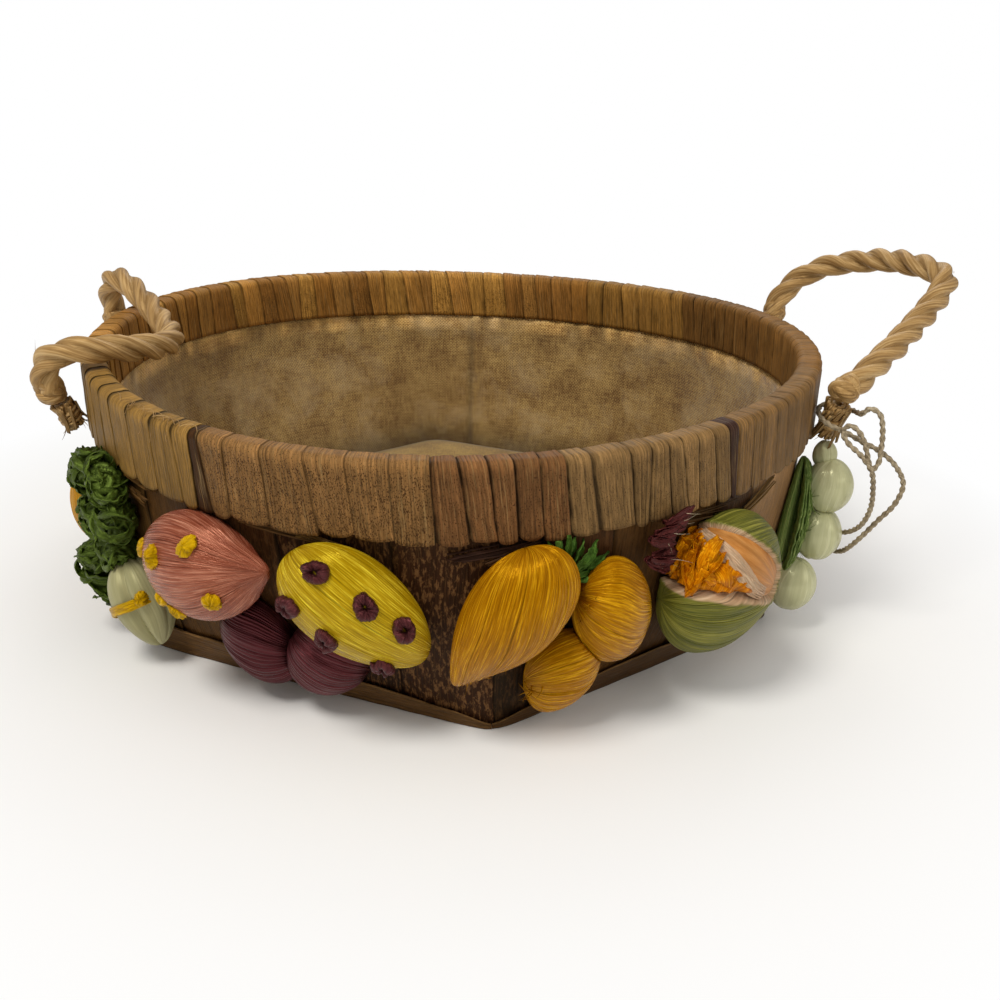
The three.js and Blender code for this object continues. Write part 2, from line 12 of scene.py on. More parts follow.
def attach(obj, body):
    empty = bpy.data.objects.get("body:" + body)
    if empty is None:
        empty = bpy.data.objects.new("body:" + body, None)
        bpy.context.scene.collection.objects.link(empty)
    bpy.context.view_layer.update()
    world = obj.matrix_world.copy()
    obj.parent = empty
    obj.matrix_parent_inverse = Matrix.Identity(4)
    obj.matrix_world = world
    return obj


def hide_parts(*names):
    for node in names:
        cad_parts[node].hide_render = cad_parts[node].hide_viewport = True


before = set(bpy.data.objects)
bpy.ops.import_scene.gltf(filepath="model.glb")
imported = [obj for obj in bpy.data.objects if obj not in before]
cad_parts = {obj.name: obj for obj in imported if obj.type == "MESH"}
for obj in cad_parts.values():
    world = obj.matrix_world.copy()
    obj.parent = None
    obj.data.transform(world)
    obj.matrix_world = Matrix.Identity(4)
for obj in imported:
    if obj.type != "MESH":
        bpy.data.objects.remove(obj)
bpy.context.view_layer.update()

MM = 0.001
TURN = 2 * math.pi

# Driving sizes of the basket, as in the solids
BASKET_HEIGHT = 72.4
RIM_RADIUS = 105.0
RIM_BAND_HEIGHT = 19.0
RIM_INNER_BAND_HEIGHT = 16.0
RIM_RISE = 1.75
RIM_RISE_AZIMUTH = math.radians(-10.4)
RIM_INNER_RADIUS = 98.0
WALL_TOP_RADIUS = 102.1
WALL_THICKNESS = 1.2
BASE_THICKNESS = 1.8
LINING_GAP = 0.3
LINING_THICKNESS = 0.8
LINING_PUCKER = 0.35
FLOOR_DISC_THICKNESS = 3.4
BASE_CORNER_RADIUS = 98.8
BASE_SIDES = 6
BASE_TURN = math.radians(-82.3)
CORNER_SHARPNESS = 48
WALL_FLARE = 1.6
RIM_FOOT = BASKET_HEIGHT - RIM_BAND_HEIGHT
FOLD_HIGH_EDGE = 8.5
FOLD_LOW_EDGE = 1.8
FOLD_BEND = 4
FOLD_GAP = 0.45
FOLD_THICKNESS = 0.8
SEAT_GAP = 0.3
FLOOR_CLEARANCE = 0.5

# Handles and twine; places on a route are azimuth in degrees, distance outside the rim and height
# over the rim's mean top
ROPE_DIAMETER = 7.4
KNOT_DIAMETER = 9.4
NECK_TOP_DIAMETER = 6.4
NECK_FOOT_DIAMETER = 5.2
NECK_FOOT_DROP = 16.8
TWINE_DIAMETER = 1.6
RIGHT_NECK_AZIMUTHS = (-19.5, 21.5)
LEFT_NECK_AZIMUTHS = (-157, 168.5)
RIGHT_ROPE_ROUTE = [
    (-22.2, 7.2, -2.4), (-21, 9.2, -1.1), (-19.2, 11.3, 0.5), (-16.5, 13.7, 2.4), (-13.8, 17, 4.6),
    (-10.1, 21.6, 7.6), (-6.6, 26.5, 10.6), (-3, 32.2, 14.4), (0, 36.6, 18.2), (2.6, 36.3, 19.8),
    (5.5, 33.8, 20.2), (10.4, 30.2, 19.6), (14.9, 25.8, 17.4), (18.5, 20, 14.6), (20.8, 13.8, 10.2),
    (21.8, 8.5, 4.2), (21.9, 6, -2.4),
]
LEFT_ROPE_ROUTE = [
    (203.5, 8.2, -5.9), (204, 9.1, -1.8), (205, 8, 2.2), (206.3, 4.7, 4.6), (207.1, -0.3, 5.2),
    (206.8, -6.9, 4.8), (204.9, -14.2, 3.6), (201, -20.4, 2.2), (195.7, -23.6, 1.4), (189.4, -22.7, 1.8),
    (183.6, -19, 3.2), (179, -14, 5.8), (175.6, -8.3, 8.8), (173.1, -2.9, 10.6), (171.3, 1.8, 10.2),
    (169.7, 5, 6.4), (168.9, 5.9, 1.6), (168.8, 5.4, -3.4),
]
TWINE_ROUTE = [
    (-12.9, -4.5, -52.4), (-13.4, 1.3, -54.6), (-15.2, 7.6, -54.4), (-17.5, 11.6, -52.4),
    (-19.5, 13.7, -49), (-20.7, 16.5, -44.3), (-21.1, 20.2, -38.3), (-21.1, 23.6, -33.1),
    (-21.2, 25, -27.1), (-22.1, 22.3, -21.4), (-23, 18, -17.4), (-23.5, 13, -15), (-23.2, 8.3, -13.2),
    (-23.3, 4.1, -11.8), (-21.9, 1.2, -10.2), (-19.6, 1.2, -9), (-18.6, 4.7, -9), (-19.2, 8.7, -9.4),
    (-21.2, 11.3, -9), (-23.5, 12.3, -7.4), (-24.3, 14.4, -5.4), (-24, 16.7, -6.8), (-23.7, 17.9, -11),
    (-23.7, 18.3, -16.4), (-23.8, 18.2, -20), (-24.3, 17, -21.8), (-24.7, 16, -19.8), (-25, 14.8, -15.8),
    (-25.2, 12.8, -11.8), (-25.1, 10.2, -10.2), (-24.8, 8.3, -12.1), (-25.3, 10.2, -14.8),
    (-25.5, 13.8, -17.4), (-25.4, 17, -21.2), (-24.4, 18, -27.4), (-22.8, 17.8, -34.4),
    (-21.1, 15.9, -40.6), (-19.1, 12.7, -44.8), (-16.6, 8.3, -47.2), (-14.2, 2.1, -47.2),
    (-12.9, -3.6, -45.4),
]

# Camera, fitted to the photograph's rim and base
CAMERA_PLACE = (14.0, -319.7, 152.1)
CAMERA_PITCH = math.radians(22.61)
CAMERA_ROLL = math.radians(1.217)
CAMERA_LENS = 39.6
CAMERA_SENSOR = 36.0
CAMERA_CLIP_START = 10.0


def add_object(name, data):
    thing = bpy.data.objects.new(name, data)
    bpy.context.scene.collection.objects.link(thing)
    return thing


def add_camera():
    data = bpy.data.cameras.new("camera")
    data.lens = CAMERA_LENS
    data.sensor_width = CAMERA_SENSOR
    data.clip_start = CAMERA_CLIP_START * MM
    camera = add_object("camera", data)
    ahead = Vector((0, math.cos(CAMERA_PITCH), -math.sin(CAMERA_PITCH)))
    level = Vector((1, 0, 0))
    above = level.cross(ahead)
    right = level * math.cos(CAMERA_ROLL) + above * math.sin(CAMERA_ROLL)
    up = above * math.cos(CAMERA_ROLL) - level * math.sin(CAMERA_ROLL)
    turn = Matrix((right, up, -ahead)).transposed().to_4x4()
    camera.matrix_world = Matrix.Translation(Vector(CAMERA_PLACE) * MM) @ turn
    bpy.context.scene.camera = camera


add_camera()


# Mesh and noise helpers

def joined(*parts):
    """Numbers or arrays as the last axis of one array."""
    return np.stack(np.broadcast_arrays(*parts), -1)


def polar(radius, azimuth, z):
    return joined(radius * np.cos(azimuth), radius * np.sin(azimuth), z)


def angles_round(count):
    return np.linspace(0, TURN, count, endpoint=False)


def unit(vectors):
    vectors = np.asarray(vectors, float)
    return vectors / np.maximum(np.linalg.norm(vectors, axis=-1, keepdims=True), 1e-9)


def any_tint(random):
    return float(random.uniform(-1, 1))


def axes_across(normal, aside, turned=0.0):
    """Two directions across a normal, turned about it."""
    first = unit(np.cross(normal, aside))
    second = np.cross(normal, first)
    return (first * math.cos(turned) + second * math.sin(turned),
            second * math.cos(turned) - first * math.sin(turned))


def ease(value, low, high):
    """Goes smoothly from 0 at low to 1 at high."""
    share = np.clip((value - low) / (high - low), 0, 1)
    return share * share * (3 - 2 * share)


NOISE_CELLS = 512


def smooth_noise(seed, *coordinates):
    """Smooth noise from -1 to 1 over one or two coordinates, with a new value at each whole number."""
    size = NOISE_CELLS
    table = np.random.default_rng(seed).uniform(-1, 1, (size,) * len(coordinates))
    cells, shares = [], []
    for value in np.broadcast_arrays(*coordinates):
        cell = np.floor(value).astype(int)
        share = value - cell
        cells.append(cell)
        shares.append(share * share * (3 - 2 * share))
    if len(coordinates) == 1:
        low, high = table[cells[0] % size], table[(cells[0] + 1) % size]
        return low + (high - low) * shares[0]
    rows = [table[(cells[0] + k) % size, cells[1] % size] for k in (0, 1)]
    next_rows = [table[(cells[0] + k) % size, (cells[1] + 1) % size] for k in (0, 1)]
    near, far = (a + (b - a) * shares[1] for a, b in zip(rows, next_rows))
    return near + (far - near) * shares[0]


def grid_faces(rows, columns, close_rows):
    """Quads of a grid of points whose columns close up to a ring, as its rows can too."""
    i = np.arange(rows if close_rows else rows - 1)[:, None]
    j = np.arange(columns)[None, :]
    next_i, next_j = (i + 1) % rows, (j + 1) % columns
    corners = [i * columns + j, next_i * columns + j, next_i * columns + next_j, i * columns + next_j]
    return np.stack([np.broadcast_to(c, (i.size, j.size)).ravel() for c in corners], -1)


class Shape:
    """Points, faces and point attributes of a piece, gathered from its parts."""

    def __init__(self):
        self.points, self.faces, self.attributes, self.count = [], [], {}, 0

    def add_grid(self, points, close_rows=False, **attributes):
        """A grid of points, rows by columns, round a tube; caps close its two ends if its rows are open."""
        rows, columns = points.shape[:2]
        faces = [list(f) for f in grid_faces(rows, columns, close_rows)]
        if not close_rows:
            faces.append(list(range(columns)))
            faces.append([(rows - 1) * columns + k for k in reversed(range(columns))])
        self.points.append(points.reshape(-1, 3))
        self.faces.extend([int(v) + self.count for v in face] for face in faces)
        for label, values in attributes.items():
            vector = values.shape[-1] == 3 and values.ndim != 2
            shape = (rows, columns, 3) if vector else (rows, columns)
            flat = np.broadcast_to(values, shape).reshape((-1, 3) if vector else -1)
            self.attributes.setdefault(label, []).append(flat.astype(np.float32))
        self.count += rows * columns


def make_piece(name, shape, material, replaced=None, body="root"):
    """A piece of the scene from its shape, riding on a body and standing for a solid."""
    mesh = bpy.data.meshes.new(name)
    points = np.concatenate(shape.points) * MM
    mesh.from_pydata(points.tolist(), [], shape.faces)
    for label, parts in shape.attributes.items():
        values = np.concatenate(parts)
        if values.ndim == 1:
            mesh.attributes.new(label, "FLOAT", "POINT").data.foreach_set("value", values)
        else:
            mesh.attributes.new(label, "FLOAT_VECTOR", "POINT").data.foreach_set("vector", values.ravel())
    mesh.shade_smooth()
    piece = add_object(name, mesh)
    mesh.materials.append(material)
    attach(piece, body)
    if replaced:
        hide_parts(replaced)
    return piece


def route_points(route):
    return np.array([
        polar(RIM_RADIUS + outside, math.radians(azimuth), BASKET_HEIGHT + rise)
        for azimuth, outside, rise in route
    ])


def smooth_line(points, per_span):
    """The centripetal curve through some points, as in the solids."""
    points = np.vstack([2 * points[0] - points[1], points, 2 * points[-1] - points[-2]])
    out = []
    for k in range(1, len(points) - 2):
        p = points[k - 1:k + 3]
        a, b, c = np.maximum(np.linalg.norm(np.diff(p, axis=0), axis=1) ** 0.5, 1e-4)
        first = ((p[1] - p[0]) / a - (p[2] - p[0]) / (a + b) + (p[2] - p[1]) / b) * b
        last = ((p[2] - p[1]) / b - (p[3] - p[1]) / (b + c) + (p[3] - p[2]) / c) * b
        t = np.linspace(0, 1, per_span, endpoint=False)[:, None]
        square, cube = t * t, t * t * t
        out.append(p[1] + first * t + (3 * (p[2] - p[1]) - 2 * first - last) * square
                   + (2 * (p[1] - p[2]) + first + last) * cube)
    out.append(points[-2][None])
    return np.vstack(out)


def line_lengths(points):
    return np.concatenate([[0], np.cumsum(np.linalg.norm(np.diff(points, axis=0), axis=1))])


def even_line(points, step):
    """The same line with points an even step apart."""
    lengths = line_lengths(points)
    at = np.linspace(0, lengths[-1], max(2, int(round(lengths[-1] / step)) + 1))
    return np.stack([np.interp(at, lengths, points[:, k]) for k in range(3)], -1)


LINE_ASIDE = (0.0, 0.3, 1.0)


def line_frames(points, closed=False):
    """Directions along a line and two across it that don't twist about it."""
    along = unit(np.roll(points, -1, 0) - np.roll(points, 1, 0) if closed else np.gradient(points, axis=0))
    across = np.cross(along[0], LINE_ASIDE)
    sides = []
    for direction in along:
        across = across - direction * (across @ direction)
        across = across / np.linalg.norm(across)
        sides.append(across)
    sides = np.array(sides)
    return along, sides, np.cross(along, sides)


def sweep(shape, line, sides, radius_at, closed=False, grain=0.0, seed=0.0, tint=0.0):
    """A tube along a line; radius_at takes the angle round it and the length along it."""
    _, across, beside = line_frames(line, closed)
    lengths = line_lengths(line)[:, None]
    angles = angles_round(sides)[None, :]
    radius = np.broadcast_to(radius_at(angles, lengths), (len(line), sides))
    points = line[:, None] + radius[..., None] * (
        np.cos(angles)[..., None] * across[:, None] + np.sin(angles)[..., None] * beside[:, None])
    top = radius.max()
    turned = angles + grain * lengths
    fibre = joined(top * np.cos(turned) + seed, top * np.sin(turned) + seed * 0.7, lengths)
    # Painted shade: the groove share darkens the tube where it is thinner than its widest, as between
    # twisted strands.
    groove = 1 - radius / top
    shape.add_grid(points, close_rows=closed, fibre=fibre, groove=groove, tint=np.full(radius.shape, tint))


# Basket outline, as in the solids

def base_radius(azimuth):
    apothem = BASE_CORNER_RADIUS * math.cos(math.pi / BASE_SIDES)
    total = 0
    for side in range(BASE_SIDES):
        facing = np.cos(azimuth - BASE_TURN - (side + 0.5) * TURN / BASE_SIDES)
        total = total + np.maximum(0, facing) ** CORNER_SHARPNESS
    return apothem * total ** (-1 / CORNER_SHARPNESS)


def wall_radius(azimuth, z):
    climb = np.clip(z / RIM_FOOT, 0, 1)
    roundness = 1 - (1 - climb) ** WALL_FLARE
    return base_radius(azimuth) * (1 - roundness) + WALL_TOP_RADIUS * roundness


def rim_top(azimuth):
    return BASKET_HEIGHT + RIM_RISE * np.cos(2 * (azimuth - RIM_RISE_AZIMUTH))


def fold_top(azimuth):
    turned = np.mod((azimuth - BASE_TURN) / (TURN / BASE_SIDES), BASE_SIDES)
    side = np.floor(turned)
    along = np.where(side % 2 == 0, turned - side, 1 - (turned - side))
    return FOLD_LOW_EDGE + (FOLD_HIGH_EDGE - FOLD_LOW_EDGE) * (1 - (1 - along) ** FOLD_BEND)


# Materials

def tone(code):
    """A colour code as written, in linear numbers."""
    parts = [int(code[k:k + 2], 16) / 255 for k in (0, 2, 4)]
    return np.array([p / 12.92 if p <= 0.04045 else ((p + 0.055) / 1.055) ** 2.4 for p in parts])


class Surface:
    """A material and its node tree."""

    def __init__(self, name, **sockets):
        self.material = bpy.data.materials.new(name)
        self.material.use_nodes = True
        self.tree = self.material.node_tree
        self.shader = self.tree.nodes["Principled BSDF"]
        for label, value in sockets.items():
            self.shader.inputs[label.replace("_", " ")].default_value = value

    def put(self, kind, *inputs, **settings):
        node = self.tree.nodes.new("ShaderNode" + kind)
        for label, value in settings.items():
            setattr(node, label, value)
        for place, value in enumerate(inputs):
            self.feed(node.inputs[place], value)
        return node

    def feed(self, socket, value):
        if isinstance(value, bpy.types.NodeSocket):
            self.tree.links.new(value, socket)
        elif value is not None:
            socket.default_value = value

    def attribute(self, name, output="Fac"):
        return self.put("Attribute", attribute_name=name).outputs[output]

    def stretch(self, vector, x, y, z):
        return self.put("VectorMath", vector, (x, y, z), operation="MULTIPLY").outputs[0]

    def noise(self, vector, scale, detail, roughness=0.5, distortion=0.0):
        node = self.put("TexNoise", vector)
        for label, value in (("Scale", scale), ("Detail", detail), ("Roughness", roughness),
                             ("Distortion", distortion)):
            node.inputs[label].default_value = value
        return node.outputs[0]

    def streaks(self, vector, stretched, scale, *noise):
        """Noise drawn out along one direction of a place."""
        return self.noise(self.stretch(vector, *stretched), scale, *noise)

    def cells(self, vector, scale):
        node = self.put("TexVoronoi", vector)
        node.inputs["Scale"].default_value = scale
        return node.outputs["Distance"]

    def math(self, operation, a, b=None):
        return self.put("Math", a, b, operation=operation).outputs[0]

    def add(self, a, b):
        return self.math("ADD", a, b)

    def times(self, a, b):
        return self.math("MULTIPLY", a, b)

    def spread(self, value, low, high, to_low=0.0, to_high=1.0):
        return self.put("MapRange", value, low, high, to_low, to_high).outputs[0]

    def mix(self, share, a, b, blend="MIX"):
        node = self.put("Mix", data_type="RGBA", blend_type=blend)
        for place, value in ((0, share), (6, a), (7, b)):
            if isinstance(value, np.ndarray):
                value = (*value, 1)
            self.feed(node.inputs[place], value)
        return node.outputs[2]

    def ramp(self, value, *stops):
        node = self.put("ValToRGB", value)
        elements = node.color_ramp.elements
        while len(elements) < len(stops):
            elements.new(0.5)
        for element, (place, color) in zip(elements, stops):
            element.position = place
            element.color = (*color, 1)
        return node.outputs[0]

    def shade(self, color, amount):
        """The colour times an amount that varies over the surface."""
        grey = self.put("CombineColor", amount, amount, amount).outputs[0]
        return self.mix(1.0, color, grey, "MULTIPLY")

    def shade_over(self, color, *spread):
        """The colour times a value that is spread from one range to another."""
        return self.shade(color, self.spread(*spread))

    def finish(self, color, roughness=None, height=None, depth=0.1):
        self.feed(self.shader.inputs["Base Color"], color)
        if roughness is not None:
            self.feed(self.shader.inputs["Roughness"], roughness)
        if height is not None:
            bump = self.put("Bump")
            bump.inputs["Distance"].default_value = depth * MM
            self.feed(bump.inputs["Height"], height)
            self.feed(self.shader.inputs["Normal"], bump.outputs[0])
        return self.material


def raffia(name, dark, middle, light, roughness, contrast=1.0, shine=0.8, scale=2.4):
    """Silky wound fibre: streaks along the fibre attribute, with painted shade that darkens the grooves."""
    gloss = tone(light) / tone(light).max()
    look = Surface(name, Specular_IOR_Level=shine, Specular_Tint=(*gloss, 1))
    fibre = look.attribute("fibre", "Vector")
    fine = look.streaks(fibre, (1, 1, 0.05), scale, 4.0, 0.65)
    broad = look.streaks(fibre, (1, 1, 0.2), 0.16, 2.0, 0.5)
    tint = look.attribute("tint")
    value = look.add(fine, look.times(tint, 0.04 * contrast))
    value = look.add(value, look.spread(broad, 0.3, 0.7, -0.06 * contrast, 0.06 * contrast))
    color = look.ramp(value, (0.28, tone(dark)), (0.5, tone(middle)), (0.73, tone(light)))
    # Painted shade: the groove share darkens the colour in the grooves.
    groove = look.attribute("groove")
    color = look.shade_over(color, groove, 0.0, 1.0, 1.04, 0.45)
    rough = look.spread(fine, 0.3, 0.7, roughness - 0.1, roughness + 0.12)
    return look.finish(color, rough, fine, 0.16)


def leaf(name, fleck, thread, roughness, ribs):
    """Dried leaf strip: its own tone, ribs and grain along it, flecks and specks, and painted shade in the
    rib grooves and in the crevices where strips lap.
    """
    look = Surface(name, Specular_IOR_Level=0.2, Specular_Tint=(1, 0.72, 0.42, 1))
    place = look.attribute("leaf", "Vector")
    base = look.attribute("tone", "Vector")

    def streaks(x, y, *noise):
        return look.streaks(place, (x, y, 1), 1.0, *noise)

    grain = streaks(2.3, 0.3, 5.0, 0.7)
    veins = streaks(2.4, 0.035, 2.0, 0.6)
    clouds = streaks(0.16, 0.06, 2.0, 0.5)
    across = look.put("SeparateXYZ", place).outputs[0]
    drift = look.spread(streaks(0.5, 0.03, 2.0), 0.2, 0.8, -3.0, 3.0)
    rib = look.math("SINE", look.add(look.times(across, 7.4), drift))
    rib = look.math("POWER", look.spread(rib, -1.0, 1.0), 3.0)
    rib = look.times(rib, look.spread(streaks(0.9, 0.05, 1.0), 0.4, 0.6))
    color = look.shade_over(base, grain, 0.32, 0.68, 0.58, 1.42)
    # Painted shade in the rib grooves, with the strip a little lighter between them.
    color = look.shade_over(color, rib, 0.0, 1.0, 1.0 + ribs * 0.35, 1.0 - ribs)
    color = look.shade_over(color, veins, 0.34, 0.66, 0.74, 1.16)
    color = look.shade_over(color, clouds, 0.3, 0.7, 0.84, 1.16)
    blots = streaks(0.9, 0.34, 5.0, 0.72, 0.3)
    flecks = look.times(look.attribute("flecks"), look.spread(blots, 0.5, 0.6, 0.0, 0.8))
    color = look.mix(flecks, color, tone(fleck))
    dots = look.cells(look.stretch(place, 1.0, 0.55, 1), 3.3)
    chance = look.noise(place, 0.7, 4.0, 0.7)
    size = look.times(look.attribute("specks"), look.spread(chance, 0.3, 0.65, 0.24, 0.56))
    speck = look.spread(look.math("SUBTRACT", size, dots), 0.0, 0.1)
    color = look.mix(look.times(speck, 0.85), color, tone("2A160C"))
    threads = streaks(2.6, 0.09, 3.0, 0.6)
    color = look.mix(look.spread(threads, 0.56, 0.74, 0.0, 0.5), color, tone(thread))
    # The edge attribute is painted shade in the crevices where strips lap or meet.
    edge = look.attribute("edge")
    color = look.shade_over(color, edge, 0.0, 1.0, 1.0, 0.2)
    rough = look.spread(grain, 0.3, 0.7, roughness - 0.1, roughness + 0.15)
    height = look.add(look.times(grain, 0.5), look.times(veins, 0.7))
    height = look.math("SUBTRACT", height, look.times(rib, ribs * 1.6))
    return look.finish(color, rough, height, 0.25)


def cloth(name, dark, light, pale, pitch, sheen):
    """Coarse plain weave over the weave attribute, with patches of painted whitish sheen, and painted shade
    and highlight from the edge attribute.
    """
    look = Surface(name, Sheen_Weight=sheen, Sheen_Roughness=0.5, Specular_IOR_Level=0.15)
    place = look.attribute("weave", "Vector")
    wander = look.noise(place, 0.12, 2.0)
    parts = look.put("SeparateXYZ", place)
    turn = TURN / pitch
    shift = look.spread(wander, 0.2, 0.8, -1.5, 1.5)
    u = look.math("SINE", look.add(look.times(parts.outputs[0], turn), shift))
    v = look.math("SINE", look.add(look.times(parts.outputs[1], turn), shift))
    threads = look.times(u, v)
    slubs = look.streaks(place, (0.25, 2.2, 1), 1.0, 3.0)
    slubs = look.times(look.add(slubs, look.streaks(place, (2.2, 0.25, 1), 1.0, 3.0)), 0.5)
    clouds = look.noise(place, 0.09, 4.0, 0.62)
    value = look.add(look.spread(threads, -1, 1, -0.1, 0.1), slubs)
    value = look.add(value, look.spread(clouds, 0.32, 0.68, -0.12, 0.12))
    color = look.ramp(value, (0.3, tone(dark)), (0.7, tone(light)))
    # Painted sheen: whitish patches mixed toward the pale tone.
    painted_sheen = look.noise(place, 0.045, 5.0, 0.66, 0.4)
    color = look.mix(look.spread(painted_sheen, 0.5, 0.68, 0.0, 0.45), color, tone(pale))
    # The edge attribute gives painted shade above 0 and painted highlight below 0.
    color = look.shade_over(color, look.attribute("edge"), -2.0, 1.0, 2.2, 0.4)
    height = look.add(look.times(threads, 0.4), slubs)
    return look.finish(color, look.spread(slubs, 0.3, 0.7, 0.62, 0.85), height, 0.2)


ROPE_STRAW = raffia("rope_straw", "6C4E2C", "A88452", "D4B684", 0.42, 1.0, scale=1.6)
TWINE_FIBRE = raffia("twine_fibre", "6A5C46", "A4947A", "CABDA2", 0.7, 1.0, scale=2.5)
RIM_LEAF = leaf("rim_leaf", "4A2E14", "A88A5A", 0.5, 0.26)
WALL_LEAF = leaf("wall_leaf", "7A5634", "6A4A28", 0.5, 0.12)
FOLD_LEAF = leaf("fold_leaf", "3E2A14", "7A5C3A", 0.5, 0.12)
# In the cloths, the third tone is the colour of the painted whitish sheen.
LINING_CLOTH = cloth("lining_cloth", "6C4E28", "B0925A", "B8A27C", 1.1, 0.4)
FLOOR_CLOTH = cloth("floor_cloth", "86683A", "C0A05C", "BA9C5A", 1.1, 0.25)


# Twine and rope handles

TWINE_PLIES = 2
TWINE_REACH_SHARE = 0.42
TWINE_PITCH = 4.2
ROPE_STRANDS = 3
ROPE_REACH_SHARE = 0.48
ROPE_PITCH = 28.5
ROPE_HAIRS = 12
KNOT_LOOPS = 5
KNOT_RING_SHARE = 0.24
RING_POINTS = 28
RING_ASIDE = (0.3, 0.2, 1.0)


def strand_radius(radius, strands, reach, pitch, roughness, seed):
    """Outline of some round strands twisted together; reach is how far out they lie, as a share."""
    strand = radius * (1 - reach)
    centre = radius * reach

    def radius_at(angle, length):
        step = TURN / strands
        turned = np.mod(angle - TURN * length / pitch + step / 2, step) - step / 2
        inside = np.maximum(strand ** 2 - (centre * np.sin(turned)) ** 2, 0)
        outline = centre * np.cos(turned) + np.sqrt(inside)
        return outline + roughness * smooth_noise(seed, angle * 4 + 50, length * 0.5)

    return radius_at


def add_twine():
    """The loose twine that is looped round the right handle's near neck."""
    line = even_line(smooth_line(route_points(TWINE_ROUTE), 12), 0.7)
    shape = Shape()
    plies = strand_radius(TWINE_DIAMETER / 2, TWINE_PLIES, TWINE_REACH_SHARE, TWINE_PITCH, 0.03, 5)
    sweep(shape, line, 16, plies, grain=0.8)
    twine = make_piece("hitched_twine_plies", shape, TWINE_FIBRE, "hitched_twine")


add_twine()


def ring_line(centre, normal, radius):
    first, second = axes_across(unit(normal), RING_ASIDE)
    angle = angles_round(RING_POINTS)[:, None]
    return centre + radius * (np.cos(angle) * first + np.sin(angle) * second)


def add_hairs(shape, starts, directions, lengths, seed, thickness, curl=0.35):
    """Loose fibres that stand off a piece, each a thin bent tube."""
    random = np.random.default_rng(seed)
    for start, direction, length in zip(starts, directions, lengths):
        bend = unit(random.normal(size=3))
        t = np.linspace(0, 1, 6)[:, None]
        line = start + direction * length * t + bend * length * curl * t ** 2
        sweep(shape, line, 4, lambda angle, s: thickness * (1 - 0.8 * s / max(length, 0.1)).clip(0.15),
              seed=random.uniform(0, 50), tint=any_tint(random))


def knot_radius(angle, length):
    return KNOT_DIAMETER * (0.165 + 0.02 * np.cos(2 * angle)) + 0 * length


def add_rope(side, route, seed):
    """A handle's twisted rope with a knot of loops at each end, and the places of its knots."""
    random = np.random.default_rng(seed)
    corners = route_points(route)
    line = even_line(smooth_line(corners, 16), 0.75)
    shape = Shape()
    strands = strand_radius(ROPE_DIAMETER / 2, ROPE_STRANDS, ROPE_REACH_SHARE, ROPE_PITCH, 0.1, seed)
    sweep(shape, line, 42, strands, grain=-1.7 * math.pi / ROPE_PITCH)
    for centre, toward in ((corners[0], corners[1]), (corners[-1], corners[-2])):
        leaning = unit(toward - centre)
        for tilt in range(KNOT_LOOPS):
            normal = unit(leaning * (0.6 if tilt else 1.0) + 0.6 * random.normal(size=3))
            spot = centre + leaning * 0.7 * (tilt - (KNOT_LOOPS - 1) / 2)
            loop = ring_line(spot, normal, KNOT_DIAMETER * KNOT_RING_SHARE)
            sweep(shape, loop, 14, knot_radius, closed=True, grain=0.5, seed=tilt * 9,
                  tint=random.uniform(-0.6, 0.6))
    picks = random.integers(4, len(line) - 4, ROPE_HAIRS)
    _, across, beside = line_frames(line)
    angle = random.uniform(0, TURN, len(picks))[:, None]
    out = np.cos(angle) * across[picks] + np.sin(angle) * beside[picks]
    along = unit(np.gradient(line, axis=0))[picks] * random.choice([-1, 1], len(picks))[:, None]
    add_hairs(shape, line[picks] + out * ROPE_DIAMETER * 0.4, unit(out * 0.5 + along),
              random.uniform(1.5, 3.5, len(picks)), seed + 1, 0.09)
    make_piece(f"{side}_rope_strands", shape, ROPE_STRAW, f"{side}_handle_rope",
               f"{side}_handle")
    return corners[0], corners[-1]


NECK_STRAWS = 54
NECK_TORN_STRIPS = 12
NECK_HAIRS = 12
BINDING_SHARES = (0.3, 0.38, 0.46, 0.54)
BINDING_RADIUS = 2.5


